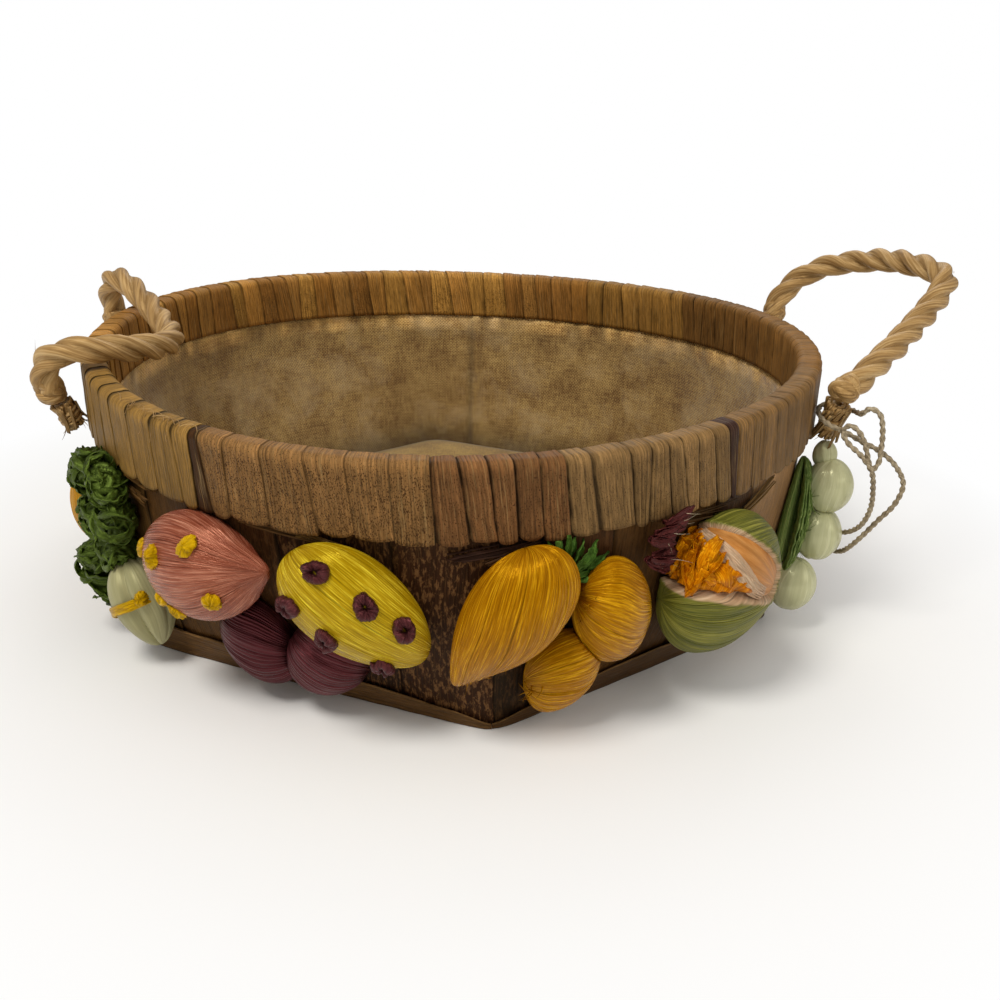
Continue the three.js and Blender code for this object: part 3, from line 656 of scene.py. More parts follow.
def add_neck(name, knot_centre, azimuth, top_share, seed):
    """A frayed sheaf of straw between a knot and the rim, with turns of straw round it."""
    random = np.random.default_rng(seed)
    foot = polar(RIM_RADIUS + SEAT_GAP + NECK_FOOT_DIAMETER / 2, math.radians(azimuth),
                 BASKET_HEIGHT - NECK_FOOT_DROP)
    axis = unit(knot_centre - foot)
    length = np.linalg.norm(knot_centre - foot) - KNOT_DIAMETER / 2 + 0.4
    _, across, beside = (v[0] for v in line_frames(np.array([foot, foot + axis, foot + 2 * axis])))
    shape = Shape()

    def outward(angle):
        return math.cos(angle) * across + math.sin(angle) * beside

    def spot(share, angle, reach):
        radius = (NECK_FOOT_DIAMETER + (NECK_TOP_DIAMETER - NECK_FOOT_DIAMETER) * share) / 2
        return foot + axis * length * share + radius * reach * outward(angle)

    for straw in range(NECK_STRAWS):
        angle = straw * 2.4 + random.uniform(-0.3, 0.3)
        reach = 0.86 if straw % 3 else 0.45
        turn = random.uniform(0.9, 1.7)
        shares = np.linspace(0, top_share, 9)
        waist = 1 - 0.22 * np.sin(math.pi * shares)
        line = np.array([spot(s, angle + turn * s, reach * w) for s, w in zip(shares, waist)])
        width = random.uniform(0.32, 0.55)
        sweep(shape, line, 7, lambda a, s: width * (1 + 0.25 * np.cos(2 * a)), seed=straw * 3,
              tint=any_tint(random), grain=0.2)
    for torn in range(NECK_TORN_STRIPS):
        angle = torn * 2.1 + random.uniform(-0.4, 0.4)
        turn, end = random.uniform(0.2, 0.8), random.uniform(-0.25, 0.05)
        shares = np.linspace(top_share * random.uniform(0.76, 0.99), end, 10)
        flare = np.clip(0.35 - shares, 0, 1)
        line = np.array([spot(s, angle + turn * s, 1.05 + 1.1 * f) for s, f in zip(shares, flare)])
        width = random.uniform(0.7, 1.0)
        sweep(shape, line, 8, lambda a, s: width * (0.6 + 0.5 * np.cos(2 * a)) * (1 - 0.6 * s / s.max()),
              seed=torn * 5, tint=any_tint(random), grain=0.1)
    for turn, share in enumerate(BINDING_SHARES):
        centre = foot + axis * length * share
        loop = ring_line(centre, unit(axis + 0.16 * random.normal(size=3)), BINDING_RADIUS)
        sweep(shape, loop, 9, lambda a, s: 0.5 + 0.06 * np.cos(2 * a), closed=True, seed=turn * 7,
              tint=random.uniform(-0.6, 0.8))
    angles = random.uniform(0, TURN, NECK_HAIRS)
    starts = np.array([spot(random.uniform(0.02, 0.3), a, 0.8) for a in angles])
    out = np.array([outward(a) for a in angles])
    add_hairs(shape, starts, unit(0.5 * out - 0.8 * axis), random.uniform(2.0, 5.0, NECK_HAIRS),
              seed + 3, 0.2)
    make_piece(f"{name}_straw", shape, ROPE_STRAW, name)


# How far up each neck its straws reach, so that the knots swing clear of them
RIGHT_NECK_TOP_SHARES = (0.95, 0.85)
LEFT_NECK_TOP_SHARES = (0.95, 0.95)

for handle, handle_route, neck_azimuths, top_shares, handle_seed in (
        ("right", RIGHT_ROPE_ROUTE, RIGHT_NECK_AZIMUTHS, RIGHT_NECK_TOP_SHARES, 11),
        ("left", LEFT_ROPE_ROUTE, LEFT_NECK_AZIMUTHS, LEFT_NECK_TOP_SHARES, 23)):
    near_knot, far_knot = add_rope(handle, handle_route, handle_seed)
    add_neck(f"{handle}_handle_near_neck", near_knot, neck_azimuths[0], top_shares[0], handle_seed + 5)
    add_neck(f"{handle}_handle_far_neck", far_knot, neck_azimuths[1], top_shares[1], handle_seed + 6)


# Rim wrapping

# Azimuths in degrees where one turn of the leaf strip laps over the next, as far as the front shows them
FRONT_LAPS = [
    -160.3, -156.5, -152.9, -148.9, -144.8, -140.9, -135.6, -129.9, -125.4, -122.5, -120.9, -116.9, -111.4,
    -105.7, -100.5, -95.3, -90.5, -87.2, -83.8, -80.8, -77.6, -74.6, -71.5, -66.2, -63.4, -60.9, -58.8,
    -56.2, -53.6, -50.9, -48.9, -45.8, -43.4, -40.0, -37.0, -34.2, -31.0, -27.8, -24.6,
]
# Stretches of the rim in degrees with the strip's tone, how speckled it is and how deep its crevices, which
# also sets how dark their painted shade is
RIM_TONES = [
    (-160.3, -122.6, "7C5E2E", 0.2, 0.12), (-122.6, -121.0, "36200E", 0.3, 1.0),
    (-121.0, -90.6, "745430", 1.0, 0.4), (-90.6, -74.7, "684628", 0.75, 1.5),
    (-74.7, -51.0, "7A5E3A", 0.65, 1.8), (-51.0, -49.0, "382420", 0.2, 1.0),
    (-49.0, -24.0, "6E5230", 0.4, 1.2), (-24.0, 12.0, "745228", 0.4, 1.2),
    (12.0, 38.0, "6A4A24", 0.3, 1.3), (38.0, 60.0, "86622E", 0.3, 1.0),
]
BACK_TONES = ["9A6E34", "885E2A", "8E6632", "A07638", "825A2A", "946A34"]
BACK_SPECKS = [0.2, 0.5, 0.8]
BACK_CREVICE = 0.75
BACK_LAP_WIDTHS = (2.8, 4.6)
# Azimuth in degrees up to which the crest's lap edges carry heavier painted shade, as in laps that stand
# open
CREST_GAP_SHADE_END = -122.6
RIM_EDGE_ROUNDING = 2.2
RIM_STRIP_THICKNESS = 0.9
RIM_STRIP_DEPTH = 1.2
# Lengths up the section at which the crest's look, with its painted highlight, begins, is full, fades again
# and has ended
CREST_BEGINS, CREST_FULL, CREST_FADES, CREST_ENDS = 15.5, 19, 27, 33
# Length up the section over which a lap's lower edge is ragged
RAGGED_LENGTH = 7


def rim_laps(random):
    laps = list(FRONT_LAPS)
    while laps[-1] < FRONT_LAPS[0] + 360 - BACK_LAP_WIDTHS[1]:
        laps.append(laps[-1] + random.uniform(*BACK_LAP_WIDTHS))
    return np.array(laps)


def rim_look(azimuth, random):
    """Tone, specks and crevice depth of a strip; the crevice depth also sets its painted shade."""
    for low, high, code, specks, crevice in RIM_TONES:
        if low <= azimuth < high:
            return tone(code) * random.uniform(0.86, 1.12), specks, crevice
    color = tone(random.choice(BACK_TONES)) * random.uniform(0.88, 1.12)
    return color, random.choice(BACK_SPECKS), BACK_CREVICE


def rim_section():
    """Section of the wrapping: offset from the rim's radius, height from its top, normal and length."""
    band, inner, width = RIM_BAND_HEIGHT, RIM_INNER_BAND_HEIGHT, RIM_RADIUS - RIM_INNER_RADIUS
    round_off, thick = RIM_EDGE_ROUNDING, RIM_STRIP_THICKNESS
    rows = [(-thick, -band, 0.0, 0.0)]
    rows += [(0.0, z, 1.0, 0.0) for z in np.linspace(-band, -round_off, 20)]
    for angle in np.linspace(0, math.pi / 2, 6)[1:]:
        rows.append((round_off * (math.cos(angle) - 1), round_off * (math.sin(angle) - 1),
                     math.cos(angle), math.sin(angle)))
    rows += [(x, 0.0, 0.0, 1.0) for x in np.linspace(-round_off, round_off - width, 4)[1:]]
    for angle in np.linspace(0, math.pi / 2, 6)[1:]:
        rows.append((round_off * (1 - math.sin(angle)) - width, round_off * (math.cos(angle) - 1),
                     -math.sin(angle), math.cos(angle)))
    rows += [(-width, z, -1.0, 0.0) for z in np.linspace(-round_off, -inner, 12)[1:]]
    under = -thick - RIM_STRIP_DEPTH
    rows += [(thick - width, -inner, 0.0, 0.0), (thick - width, under, 0.0, 0.0), (-thick, under, 0.0, 0.0)]
    rows = np.array(rows)
    lengths = np.concatenate([[0], np.cumsum(np.hypot(np.diff(rows[:, 0]), np.diff(rows[:, 1])))])
    return rows, lengths


# Across a lap, with one lap's edge over the next: share of its width, depth and darkness of painted shade
LAP_SHARES, LAP_DEPTHS, LAP_EDGE_SHADES = np.array([
    (0.0, 0.5, 1.0), (0.035, 0.36, 0.8), (0.1, 0.22, 0.34), (0.2, 0.17, 0.06), (0.38, 0.14, 0.0),
    (0.56, 0.1, 0.0), (0.74, 0.07, 0.0), (0.88, 0.04, 0.0), (0.95, 0.03, 0.0), (0.985, 0.12, 0.5),
]).T


def add_rim():
    """The leaf strip wound round the rim, lap by lap, round its whole section."""
    random = np.random.default_rng(31)
    laps = rim_laps(random)
    count = len(laps)
    rows, lengths = rim_section()
    slants = random.uniform(0.03, 0.2, count)
    waves = random.uniform(0, 100, count)
    strip = np.repeat(np.arange(count), len(LAP_SHARES))
    share = np.tile(LAP_SHARES, count)
    depth, edge = np.tile(LAP_DEPTHS, count), np.tile(LAP_EDGE_SHADES, count)
    follow = (strip + 1) % count
    ends = np.append(laps[1:], laps[0] + 360)
    looks = [rim_look(low, random) for low in laps]
    crevice = np.array([look[2] for look in looks])[strip]
    height = lengths[:, None]

    def boundary(index):
        wander = smooth_noise(41, waves[index][None, :], height * 0.16) * 0.16
        return slants[index][None, :] * (RIM_BAND_HEIGHT - height) + wander

    place = laps[strip] * (1 - share) + ends[strip] * share
    shift = boundary(strip) * (1 - share) + boundary(follow) * share
    azimuth = np.radians(place)[None, :] + shift / RIM_RADIUS
    face = rows[:, 2:4]
    visible = (np.abs(face).sum(1) > 0)[:, None]
    ripple = 0.09 * smooth_noise(43, strip[None, :] * 3.7 + share[None, :] * 3, height * 0.35)
    grooves = 0.05 * np.sin(share[None, :] * 21 + strip[None, :])
    sunk = np.where(visible, -depth * (0.3 + 0.7 * crevice) - 0.06 + ripple + grooves, 0.0)
    ragged, torn = random.uniform(-0.7, 0.5, count)[strip], random.uniform(0.3, 2.0, count)[strip]
    ragged = ragged + torn * np.abs(2 * share - 1) ** 2.5
    ragged = ragged[None, :] * np.clip(1 - height / RAGGED_LENGTH, 0, 1)
    radius = RIM_RADIUS + rows[:, 0:1] + rows[:, 2:3] * sunk
    z = rim_top(azimuth) + rows[:, 1:2] + rows[:, 3:4] * sunk + ragged
    points = polar(radius, azimuth, z)

    colors = np.array([look[0] for look in looks])[strip]
    crest = ease(height, CREST_BEGINS, CREST_FULL) * (1 - ease(height, CREST_FADES, CREST_ENDS))
    # Painted highlight: the crest is lighter, and so is a thin strip along each lap's raised side.
    lift = 1 + 0.34 * crest + 0.05 * (share[None, :] > 0.8) * (edge[None, :] < 0.1)
    tones = colors[None] * lift[..., None]
    widths = np.radians(ends - laps)[strip] * RIM_RADIUS
    place_in_leaf = joined(share * widths + strip * 31.0, height + strip * 11.0, strip * 0.37 + 0 * height)
    specks = np.array([look[1] for look in looks])[strip][None, :] * (1 - 0.35 * crest)
    # Painted shade in the crevices between laps, varied along their height by noise, and heavier on the
    # crest where laps stand open.
    crevice_shade_wander = np.clip(0.75 + 0.6 * smooth_noise(47, strip[None, :] * 5.3, height * 0.45), 0.15, 1.3)
    crest_gap_shade = (place < CREST_GAP_SHADE_END)[None, :] * crest
    edge = edge[None, :] * (crevice[None, :] * crevice_shade_wander + 1.6 * crest_gap_shade) * visible
    shape = Shape()
    shape.add_grid(points, close_rows=True, leaf=place_in_leaf, tone=tones, specks=specks, edge=edge,
                   flecks=0 * radius)
    make_piece("rim_wrapped_strips", shape, RIM_LEAF, "rim_wrapping")


add_rim()


# Wall of upright leaf strips, and the plaited underside

WALL_PANELS = [
    # azimuth in degrees where the strip starts, its tone and how mottled it is
    (-95.6, "2A140A", 1.0), (-82.1, "1A0F08", 0.25), (-76.6, "3E2614", 0.2), (-67.0, "4E3418", 0.15),
    (-58.5, "40280F", 0.3), (-50.0, "301C0E", 0.3), (-41.5, "866644", 0.25), (-18.4, "24140A", 0.2),
    (-9.0, "5A4020", 0.2), (3.0, "3E2614", 0.6), (14.0, "4E3418", 0.2), (25.5, "2A140A", 1.0),
    (37.0, "5A4020", 0.1), (47.5, "301C0E", 0.4), (59.5, "6C4C24", 0.1), (70.5, "3E2614", 0.7),
    (82.0, "2A140A", 1.0), (93.0, "4E3418", 0.2), (104.5, "1A0F08", 0.3), (112.0, "5A4020", 0.2),
    (123.5, "3E2614", 0.5), (135.0, "6C4C24", 0.1), (146.0, "301C0E", 0.3), (158.0, "4E3418", 0.2),
    (169.0, "2A140A", 0.9), (180.5, "5A4020", 0.1), (191.0, "3E2614", 0.3), (202.0, "4E3418", 0.3),
    (213.0, "5A4020", 0.2), (224.0, "4E3418", 0.2), (234.5, "3E2614", 0.5), (249.0, "2A140A", 1.0),
    (256.5, "1E0E09", 0.8),
]
# Across a strip, with one strip's edge over the next: share of its width, depth and darkness of painted
# shade
PANEL_SHARES, PANEL_DEPTHS, PANEL_EDGE_SHADES = np.array([
    (0.0, 0.5, 1.0), (0.012, 0.42, 0.8), (0.04, 0.26, 0.3), (0.1, 0.2, 0.05), (0.2, 0.16, 0), (0.3, 0.14, 0),
    (0.4, 0.12, 0), (0.5, 0.1, 0), (0.6, 0.09, 0), (0.7, 0.07, 0), (0.8, 0.05, 0), (0.9, 0.03, 0),
    (0.96, 0.02, 0), (0.985, 0.03, 0.05), (0.995, 0.12, 0.5),
]).T
PLAIT_WIDTH = 17.0
PLAIT_LEAF_STEP = 40
PLAIT_STRIPS = 64
PLAIT_TONE = "5A4020"
BASE_ROWS = 44
WALL_ROWS = 30
WALL_INNER_ROWS = 12
WALL_LEAF_RADIUS = 98.0
# Distances in from the base's edge and up from the ground, round its lower corner
CORNER_ROUNDING = [(0.9, 0.12), (0.45, 0.4), (0.12, 0.85)]


def plait(x, y):
    """Over-and-under plait of two sets of strips: depth below the top, darkness of painted shade at the
    strips' edges and place on the leaf.
    """
    i, j = np.floor(x / PLAIT_WIDTH), np.floor(y / PLAIT_WIDTH)
    u, v = x / PLAIT_WIDTH - i, y / PLAIT_WIDTH - j
    first = (i + j) % 2 == 0
    across, along = np.where(first, u, v), np.where(first, v, u)
    dip = 0.5 * (2 * np.abs(along - 0.5)) ** 4 + 0.12 * (2 * np.abs(across - 0.5)) ** 8
    # Painted shade along the strips' edges, where they dip under one another.
    edge = np.maximum(ease(np.abs(across - 0.5), 0.47, 0.5), 0.6 * ease(np.abs(along - 0.5), 0.46, 0.5))
    strip = PLAIT_LEAF_STEP * (i + 2 * j)
    return dip, edge, joined(across * PLAIT_WIDTH + strip, np.where(first, y, x), 0.3 * (i - j))


def add_wall():
    """The wall's strips, outside and inside, and the plaited base that they grow from."""
    starts = np.array([panel[0] for panel in WALL_PANELS])
    ends = np.append(starts[1:], starts[0] + 360)
    panel = np.repeat(np.arange(len(starts)), len(PANEL_SHARES))
    share = np.tile(PANEL_SHARES, len(starts))
    azimuth0 = np.radians(starts[panel] * (1 - share) + ends[panel] * share)[None, :]
    colors = np.array([tone(code) for _, code, _ in WALL_PANELS])[panel][None]
    flecks = np.array([mottled for _, _, mottled in WALL_PANELS])[panel][None, :]
    depth = np.tile(PANEL_DEPTHS, len(starts))[None, :]
    edge = np.tile(PANEL_EDGE_SHADES, len(starts))[None, :]

    under = np.concatenate([[0.004], np.linspace(0.03, 1, BASE_ROWS)])[:, None]
    rim_of_base = base_radius(azimuth0) - 1.4
    flat = polar(rim_of_base * under, azimuth0, 0)
    dip, plait_edge_shade, plait_leaf = plait(flat[..., 0] + 4, flat[..., 1] + 7)
    underside = polar(rim_of_base * under, azimuth0, dip * ease(1 - under, 0, 0.03))
    brightness = np.random.default_rng(7).uniform(0.75, 1.2, PLAIT_STRIPS)
    strip = np.floor(plait_leaf[..., 0] / PLAIT_LEAF_STEP).astype(int) % PLAIT_STRIPS
    under_tone = tone(PLAIT_TONE) * brightness[strip][..., None]

    corner = np.array(CORNER_ROUNDING)
    levels = np.concatenate([[1.4], np.linspace(2.5, RIM_FOOT + 1.5, WALL_ROWS)])[:, None]
    wander = 0.5 * smooth_noise(51, panel[None, :] * 5.3, levels * 0.09) / RIM_RADIUS
    azimuth = azimuth0 + wander
    relief = -depth + 0.1 * smooth_noise(52, azimuth0 * 26, levels * 0.1)
    side = polar(wall_radius(azimuth, levels) + relief, azimuth, levels)
    turn = np.stack([polar(base_radius(azimuth0[0]) - inset, azimuth0[0], z) for inset, z in corner])
    turn = turn - polar(depth * 0.5, azimuth0, 0)
    top = rim_top(azimuth0) - 1.3
    upper = np.stack([polar(WALL_TOP_RADIUS - 0.1, azimuth0[0], top[0]),
                      polar(WALL_TOP_RADIUS - WALL_THICKNESS, azimuth0[0], top[0])])
    inner_levels = np.linspace(RIM_FOOT, BASE_THICKNESS, WALL_INNER_ROWS)[:, None]
    inner = polar(wall_radius(azimuth0, inner_levels) - WALL_THICKNESS, azimuth0, inner_levels)
    floor = polar(rim_of_base * np.array([0.9, 0.5, 0.005])[:, None], azimuth0, BASE_THICKNESS)
    points = np.concatenate([underside, turn, side, upper, inner, floor])

    rows = len(points)
    first, last = len(under), len(under) + len(corner) + len(levels)
    heights = np.concatenate([0 * under, 0 * corner[:, :1], levels, np.zeros((rows - last, 1))])
    widths = np.radians(ends - starts)[panel] * WALL_LEAF_RADIUS
    leaf_place = joined(share * widths + panel * 53.0, heights, panel * 0.41)
    leaf_place[:first] = plait_leaf
    tones = np.broadcast_to(colors, (rows, len(panel), 3)).copy()
    tones[:first] = under_tone
    tones *= 1 + 0.25 * ease(heights, 40, RIM_FOOT)[..., None]
    edges = np.broadcast_to(edge, (rows, len(panel))).copy()
    edges[:first] = plait_edge_shade
    mottle = np.broadcast_to(flecks, (rows, len(panel))).copy()
    mottle[:first] = 0.3
    shape = Shape()
    shape.add_grid(points, leaf=leaf_place, tone=tones, edge=edges, flecks=mottle, specks=0.3 + 0 * edges)
    make_piece("wall_leaf_strips", shape, WALL_LEAF, "plaited_wall")


add_wall()


FOLD_TONES = ["4C341C", "604428", "765638", "4E361E", "6A4A2C", "604426"]
FOLD_EDGE_TONE = "8A6840"
FOLD_EDGE_SHARE = 0.75
FOLD_COLUMNS = 60


def add_fold(side):
    """The turned-up ends of the base strips along one side of the base."""
    random = np.random.default_rng(60 + side)
    share = np.linspace(0, 1, FOLD_COLUMNS)[None, :]
    inset = 0.25 * (SEAT_GAP / BASE_CORNER_RADIUS) * (1 - 2 * share)
    azimuth = BASE_TURN + (side + share) * TURN / BASE_SIDES + inset
    top = fold_top(azimuth) + 0.35 * smooth_noise(61 + side, share * 14) - 0.2
    rise = np.concatenate([np.linspace(0, 1, 9), [0.97], np.linspace(0.9, 0, 4)])[:, None]
    outer = np.concatenate([np.ones(9), [0.35], np.zeros(4)])[:, None]
    z = 0.25 + (top - 0.25) * rise
    wave = 0.12 * smooth_noise(71 + side, share * 20, rise * 2)
    radius = wall_radius(azimuth, np.maximum(z, 1.2)) + 0.35 + outer * (FOLD_THICKNESS - 0.1) + wave * outer
    points = polar(radius, azimuth, z)
    pale = FOLD_EDGE_SHARE * np.clip(ease(rise, 0.9, 1.0) * outer + (outer < 0.5), 0, 1)[..., None]
    tones = tone(FOLD_TONES[side]) * (1 - pale) + tone(FOLD_EDGE_TONE) * pale
    leaf_place = joined(z + 90 * side, share * 95, side * 1.7)
    shape = Shape()
    flat = 0 * radius
    shape.add_grid(points.transpose(1, 0, 2), leaf=leaf_place.transpose(1, 0, 2),
                   tone=np.broadcast_to(tones, points.shape).transpose(1, 0, 2), edge=flat.T,
                   flecks=flat.T + 0.2, specks=flat.T + random.uniform(0.2, 0.6))
    make_piece(f"base_fold_{side + 1}_leaf", shape, FOLD_LEAF, f"base_fold_{side + 1}")


for base_side in range(BASE_SIDES):
    add_fold(base_side)


# Cloth lining and the cloth on the floor disc

LINING_SEAM_AZIMUTH = math.radians(88)
LINING_COLUMNS = 540
LINING_ROWS = 26
LINING_SEAM_RADIUS = 95.0
LINING_SEAM_WIDTH = 1.3
FLOOR_CLOTH_COLUMNS = 300
FLOOR_CLOTH_EDGE_GAP = 0.9
FLOOR_CLOTH_SWELL = 5.2


def seam_share(azimuth, offset, width):
    """1 on the lining's seam, moved by an offset in radians, and less beside it."""
    return np.exp(-((azimuth - LINING_SEAM_AZIMUTH - offset) * LINING_SEAM_RADIUS / width) ** 2)


def add_lining():
    """The cloth on the wall's inside, gathered at its top edge, with painted shade and highlight in its
    colour.
    """
    azimuth = angles_round(LINING_COLUMNS)[None, :] + BASE_TURN
    low = BASE_THICKNESS + LINING_GAP
    rise = np.linspace(0, 1, LINING_ROWS)[:, None]
    top = rim_top(azimuth) - RIM_INNER_BAND_HEIGHT - SEAT_GAP
    z = low + (top - low) * rise
    gather = ease(rise, 0.72, 1.0)
    pucker = LINING_PUCKER * (1 + smooth_noise(81, azimuth * 22 + 4)) * gather
    slack = 0.22 * (1 + smooth_noise(82, azimuth * 5 + 9, rise * 2.2)) * ease(rise, 0, 0.2)
    seam = seam_share(azimuth, 0, LINING_SEAM_WIDTH) * LINING_SEAM_WIDTH * ease(rise, 0, 0.1)
    face = wall_radius(azimuth, z) - WALL_THICKNESS - LINING_GAP
    inside = polar(face - LINING_THICKNESS - pucker - slack - seam, azimuth, z)
    outside = polar(face - pucker - 0.1, azimuth, z)[::-1]
    points = np.concatenate([inside, outside])
    weave = joined(azimuth * 92, z, 0.2)
    # Painted shade toward the bottom, where the floor cloth meets the lining, and in the gathers at the top.
    gather_shade = 0.5 + 0.5 * smooth_noise(81, azimuth * 22 + 4)
    edge = 0.95 * ease(1 - rise, 0.72, 1.0) + 0.3 * gather * gather_shade
    # Painted highlight along the puckered top edge, and a painted shadow just beside the seam.
    ruffle_highlight = 0.5 + 0.5 * smooth_noise(83, azimuth * 30 + 4)
    edge = edge - 2.6 * ruffle_highlight * ease(rise, 0.87, 0.95) + 0.6 * seam_share(azimuth, 0.02, 1.2)
    edges = np.concatenate([edge, edge[::-1]])
    shape = Shape()
    shape.add_grid(points.transpose(1, 0, 2), close_rows=True,
                   weave=np.concatenate([weave, weave[::-1]]).transpose(1, 0, 2), edge=edges.T)
    lining = make_piece("lining_cloth_gathered", shape, LINING_CLOTH, "cloth_lining")


def add_floor_cloth():
    """The cloth that lies swollen on the floor disc, with painted shade toward its outer edge."""
    azimuth = angles_round(FLOOR_CLOTH_COLUMNS)[None, :] + BASE_TURN
    low = BASE_THICKNESS + SEAT_GAP
    edge_radius = wall_radius(azimuth, BASE_THICKNESS) - WALL_THICKNESS
    edge_radius = edge_radius - LINING_GAP - LINING_THICKNESS - FLOOR_CLOTH_EDGE_GAP
    under = [(0.006, 0.0), (0.5, 0.0), (0.985, 0.0), (1.0, 0.25), (1.0, 0.72), (0.993, 0.93), (0.975, 1.0)]
    over = [(share, 1.0) for share in np.linspace(0.95, 0.006, 46)]
    share, height = (np.array(values)[:, None] for values in zip(*(under + over)))
    weave = polar(edge_radius * share, azimuth, 0)
    x, y = weave[..., 0], weave[..., 1]
    swell = 0.14 * smooth_noise(91, x * 0.05 + 20, y * 0.05 + 20) - 0.16
    swell = swell + FLOOR_CLOTH_SWELL * (0.8 + 0.3 * smooth_noise(93, x * 0.035 + 20, y * 0.035 + 20))
    z = low + FLOOR_DISC_THICKNESS * height + swell * (height >= 1.0) * (1 - share ** 8)
    shape = Shape()
    # Painted shade toward the cloth's outer edge, next to the lining.
    shape.add_grid(polar(edge_radius * share, azimuth, z), weave=weave,
                   edge=ease(share, 0.88, 0.99) * 0.85 + 0 * azimuth)
    cover = make_piece("floor_disc_cloth", shape, FLOOR_CLOTH, "floor_disc")


add_lining()
add_floor_cloth()


# Padded raffia fruit: places on one side of the basket, as in the solids

def item(size, azimuth, height_share, tilt, tip_share, stand_share):
    """Full size, place on the wall, turn there in degrees, loss of width at the tip, and stand-off."""
    return {"half": np.array(size) / 2, "azimuth": azimuth, "height_share": height_share, "tilt": tilt,
            "tip_share": tip_share, "stand_share": stand_share}


DOTTED = item((39.5, 26.5, 20), -99.5, 0.682, -39, 0.25, 0.28)
SALMON = item((33, 30, 21), -120.4, 0.741, 5.5, 0.4, 0.25)
GOLDEN = item((39, 24, 20), -81, 0.66, -127, 0.45, 0.28)
GOLDEN_ROUND = item((29, 19, 17), -67.3, 0.63, 97, 0.1, 0.3)
GOLDEN_SMALL = item((24.5, 18.5, 15), -73.4, 0.315, -108, 0.25, 0.3)
PLUM_LEFT = item((27, 20, 15), -116.6, 0.335, 100, 0, 0.2)
PLUM_RIGHT = item((27, 20, 15), -105.4, 0.335, 54, 0, 0.2)
BULB = item((25, 20.5, 17), -138.2, 0.345, -70, 0.3, 0.3)
MELON = item((34, 40, 24), -49.7, 0.622, 0, 0, 0.25)
ORANGE = item((22, 17, 15.5), -159, 0.6, 90, 0.15, 0.28)
SPRIG = item((15, 10, 5), -72.6, 0.9, 62, 0.3, 0.4)
PEAS = [item((13.8, 11.6, 11.6), azimuth, height_share, 90, 0, stand_share)
        for azimuth, height_share, stand_share in (
            (-20.5, 0.79, 0.81), (-21, 0.53, 0.81), (-24.8, 0.285, 0.62))]
PEA_TIP = item((8, 6.5, 6.5), -19.6, 0.935, 90, 0, 1.05)
POD_LEAF = item((36, 18, 5), -22.8, 0.6, 84, 0.2, 0.2)
CURLS = [item((15, 11, depth), azimuth, height_share, tilt, 0, 0.45)
         for azimuth, height_share, tilt, depth in (
             (-147, 0.93, 70, 11), (-153.5, 0.82, 20, 11), (-141, 0.92, -30, 11), (-139.5, 0.76, 50, 11),
             (-146.5, 0.7, 0, 11), (-152.5, 0.62, 60, 11), (-141.5, 0.6, -40, 11), (-147.5, 0.5, 30, 16),
             (-149, 0.36, -60, 16))]
PETALS = [item((14, 5.5, 4.5), azimuth, height_share, tilt, 0, 1.2)
          for azimuth, height_share, tilt in ((-62.4, 0.96, -10), (-62, 0.85, -25), (-60.6, 1.0, 5))]


def item_frame(thing, turn):
    """Middle of an item, and the directions along it, across it and away from the wall."""
    azimuth = math.radians(thing["azimuth"]) + turn
    z = thing["height_share"] * RIM_FOOT
    place = polar(wall_radius(azimuth, z), azimuth, z)
    level = np.array([-math.sin(azimuth), math.cos(azimuth), 0])
    up = unit(polar(wall_radius(azimuth, z + SEAT_GAP), azimuth, z + SEAT_GAP) - place)
    out = np.cross(level, up)
    tilt = math.radians(thing["tilt"])
    along = level * math.cos(tilt) + up * math.sin(tilt)
    middle = place + out * thing["stand_share"] * 2 * thing["half"][2]
    return middle, np.array([along, np.cross(out, along), out])


def fullness(thing, share):
    return 1 - thing["tip_share"] * ((1 + np.clip(share, -1, 1)) / 2) ** 2


def on_form(thing, sphere, swell=0.0):
    """Local points of an item's surface from directions on the unit sphere."""
    full = fullness(thing, sphere[..., 0])
    return sphere * (thing["half"] + swell) * joined(1.0, full, full)


def over_form(thing, sphere, lift):
    """Local points that stand a lift off an item's surface."""
    return on_form(thing, sphere) + unit(sphere / thing["half"]) * lift


def form_value(thing, placed, points, gap):
    """Less than 1 inside an item that is swollen by gap."""
    middle, axes = placed
    share = (points - middle) @ axes.T / (thing["half"] + gap)
    full = fullness(thing, share[..., 0])
    return np.sqrt(share[..., 0] ** 2 + (share[..., 1] ** 2 + share[..., 2] ** 2) / full ** 2)


def wall_face(azimuth, z):
    """Radius that sewn-on pieces stay outside of."""
    folded = FOLD_GAP + FOLD_THICKNESS + SEAT_GAP
    face = wall_radius(azimuth, z) + np.where(z < fold_top(azimuth) + SEAT_GAP, folded, SEAT_GAP)
    return np.where(z > rim_top(azimuth) - RIM_BAND_HEIGHT - SEAT_GAP, RIM_RADIUS + SEAT_GAP, face)


NEIGHBOUR_GAP = SEAT_GAP * 0.6
NEIGHBOUR_REACH = 45.0
SETTLE_STEPS = 23
SETTLE_HALVINGS = 7


def taken(points, neighbours):
    """Which points lie in the wall, the folds, the rim, the floor or a neighbour."""
    azimuth = np.arctan2(points[..., 1], points[..., 0])
    z = points[..., 2]
    hit = (np.hypot(points[..., 0], points[..., 1]) < wall_face(azimuth, z)) | (z < FLOOR_CLEARANCE)
    for thing, placed in neighbours:
        hit |= form_value(thing, placed, points, NEIGHBOUR_GAP) < 1
    return hit


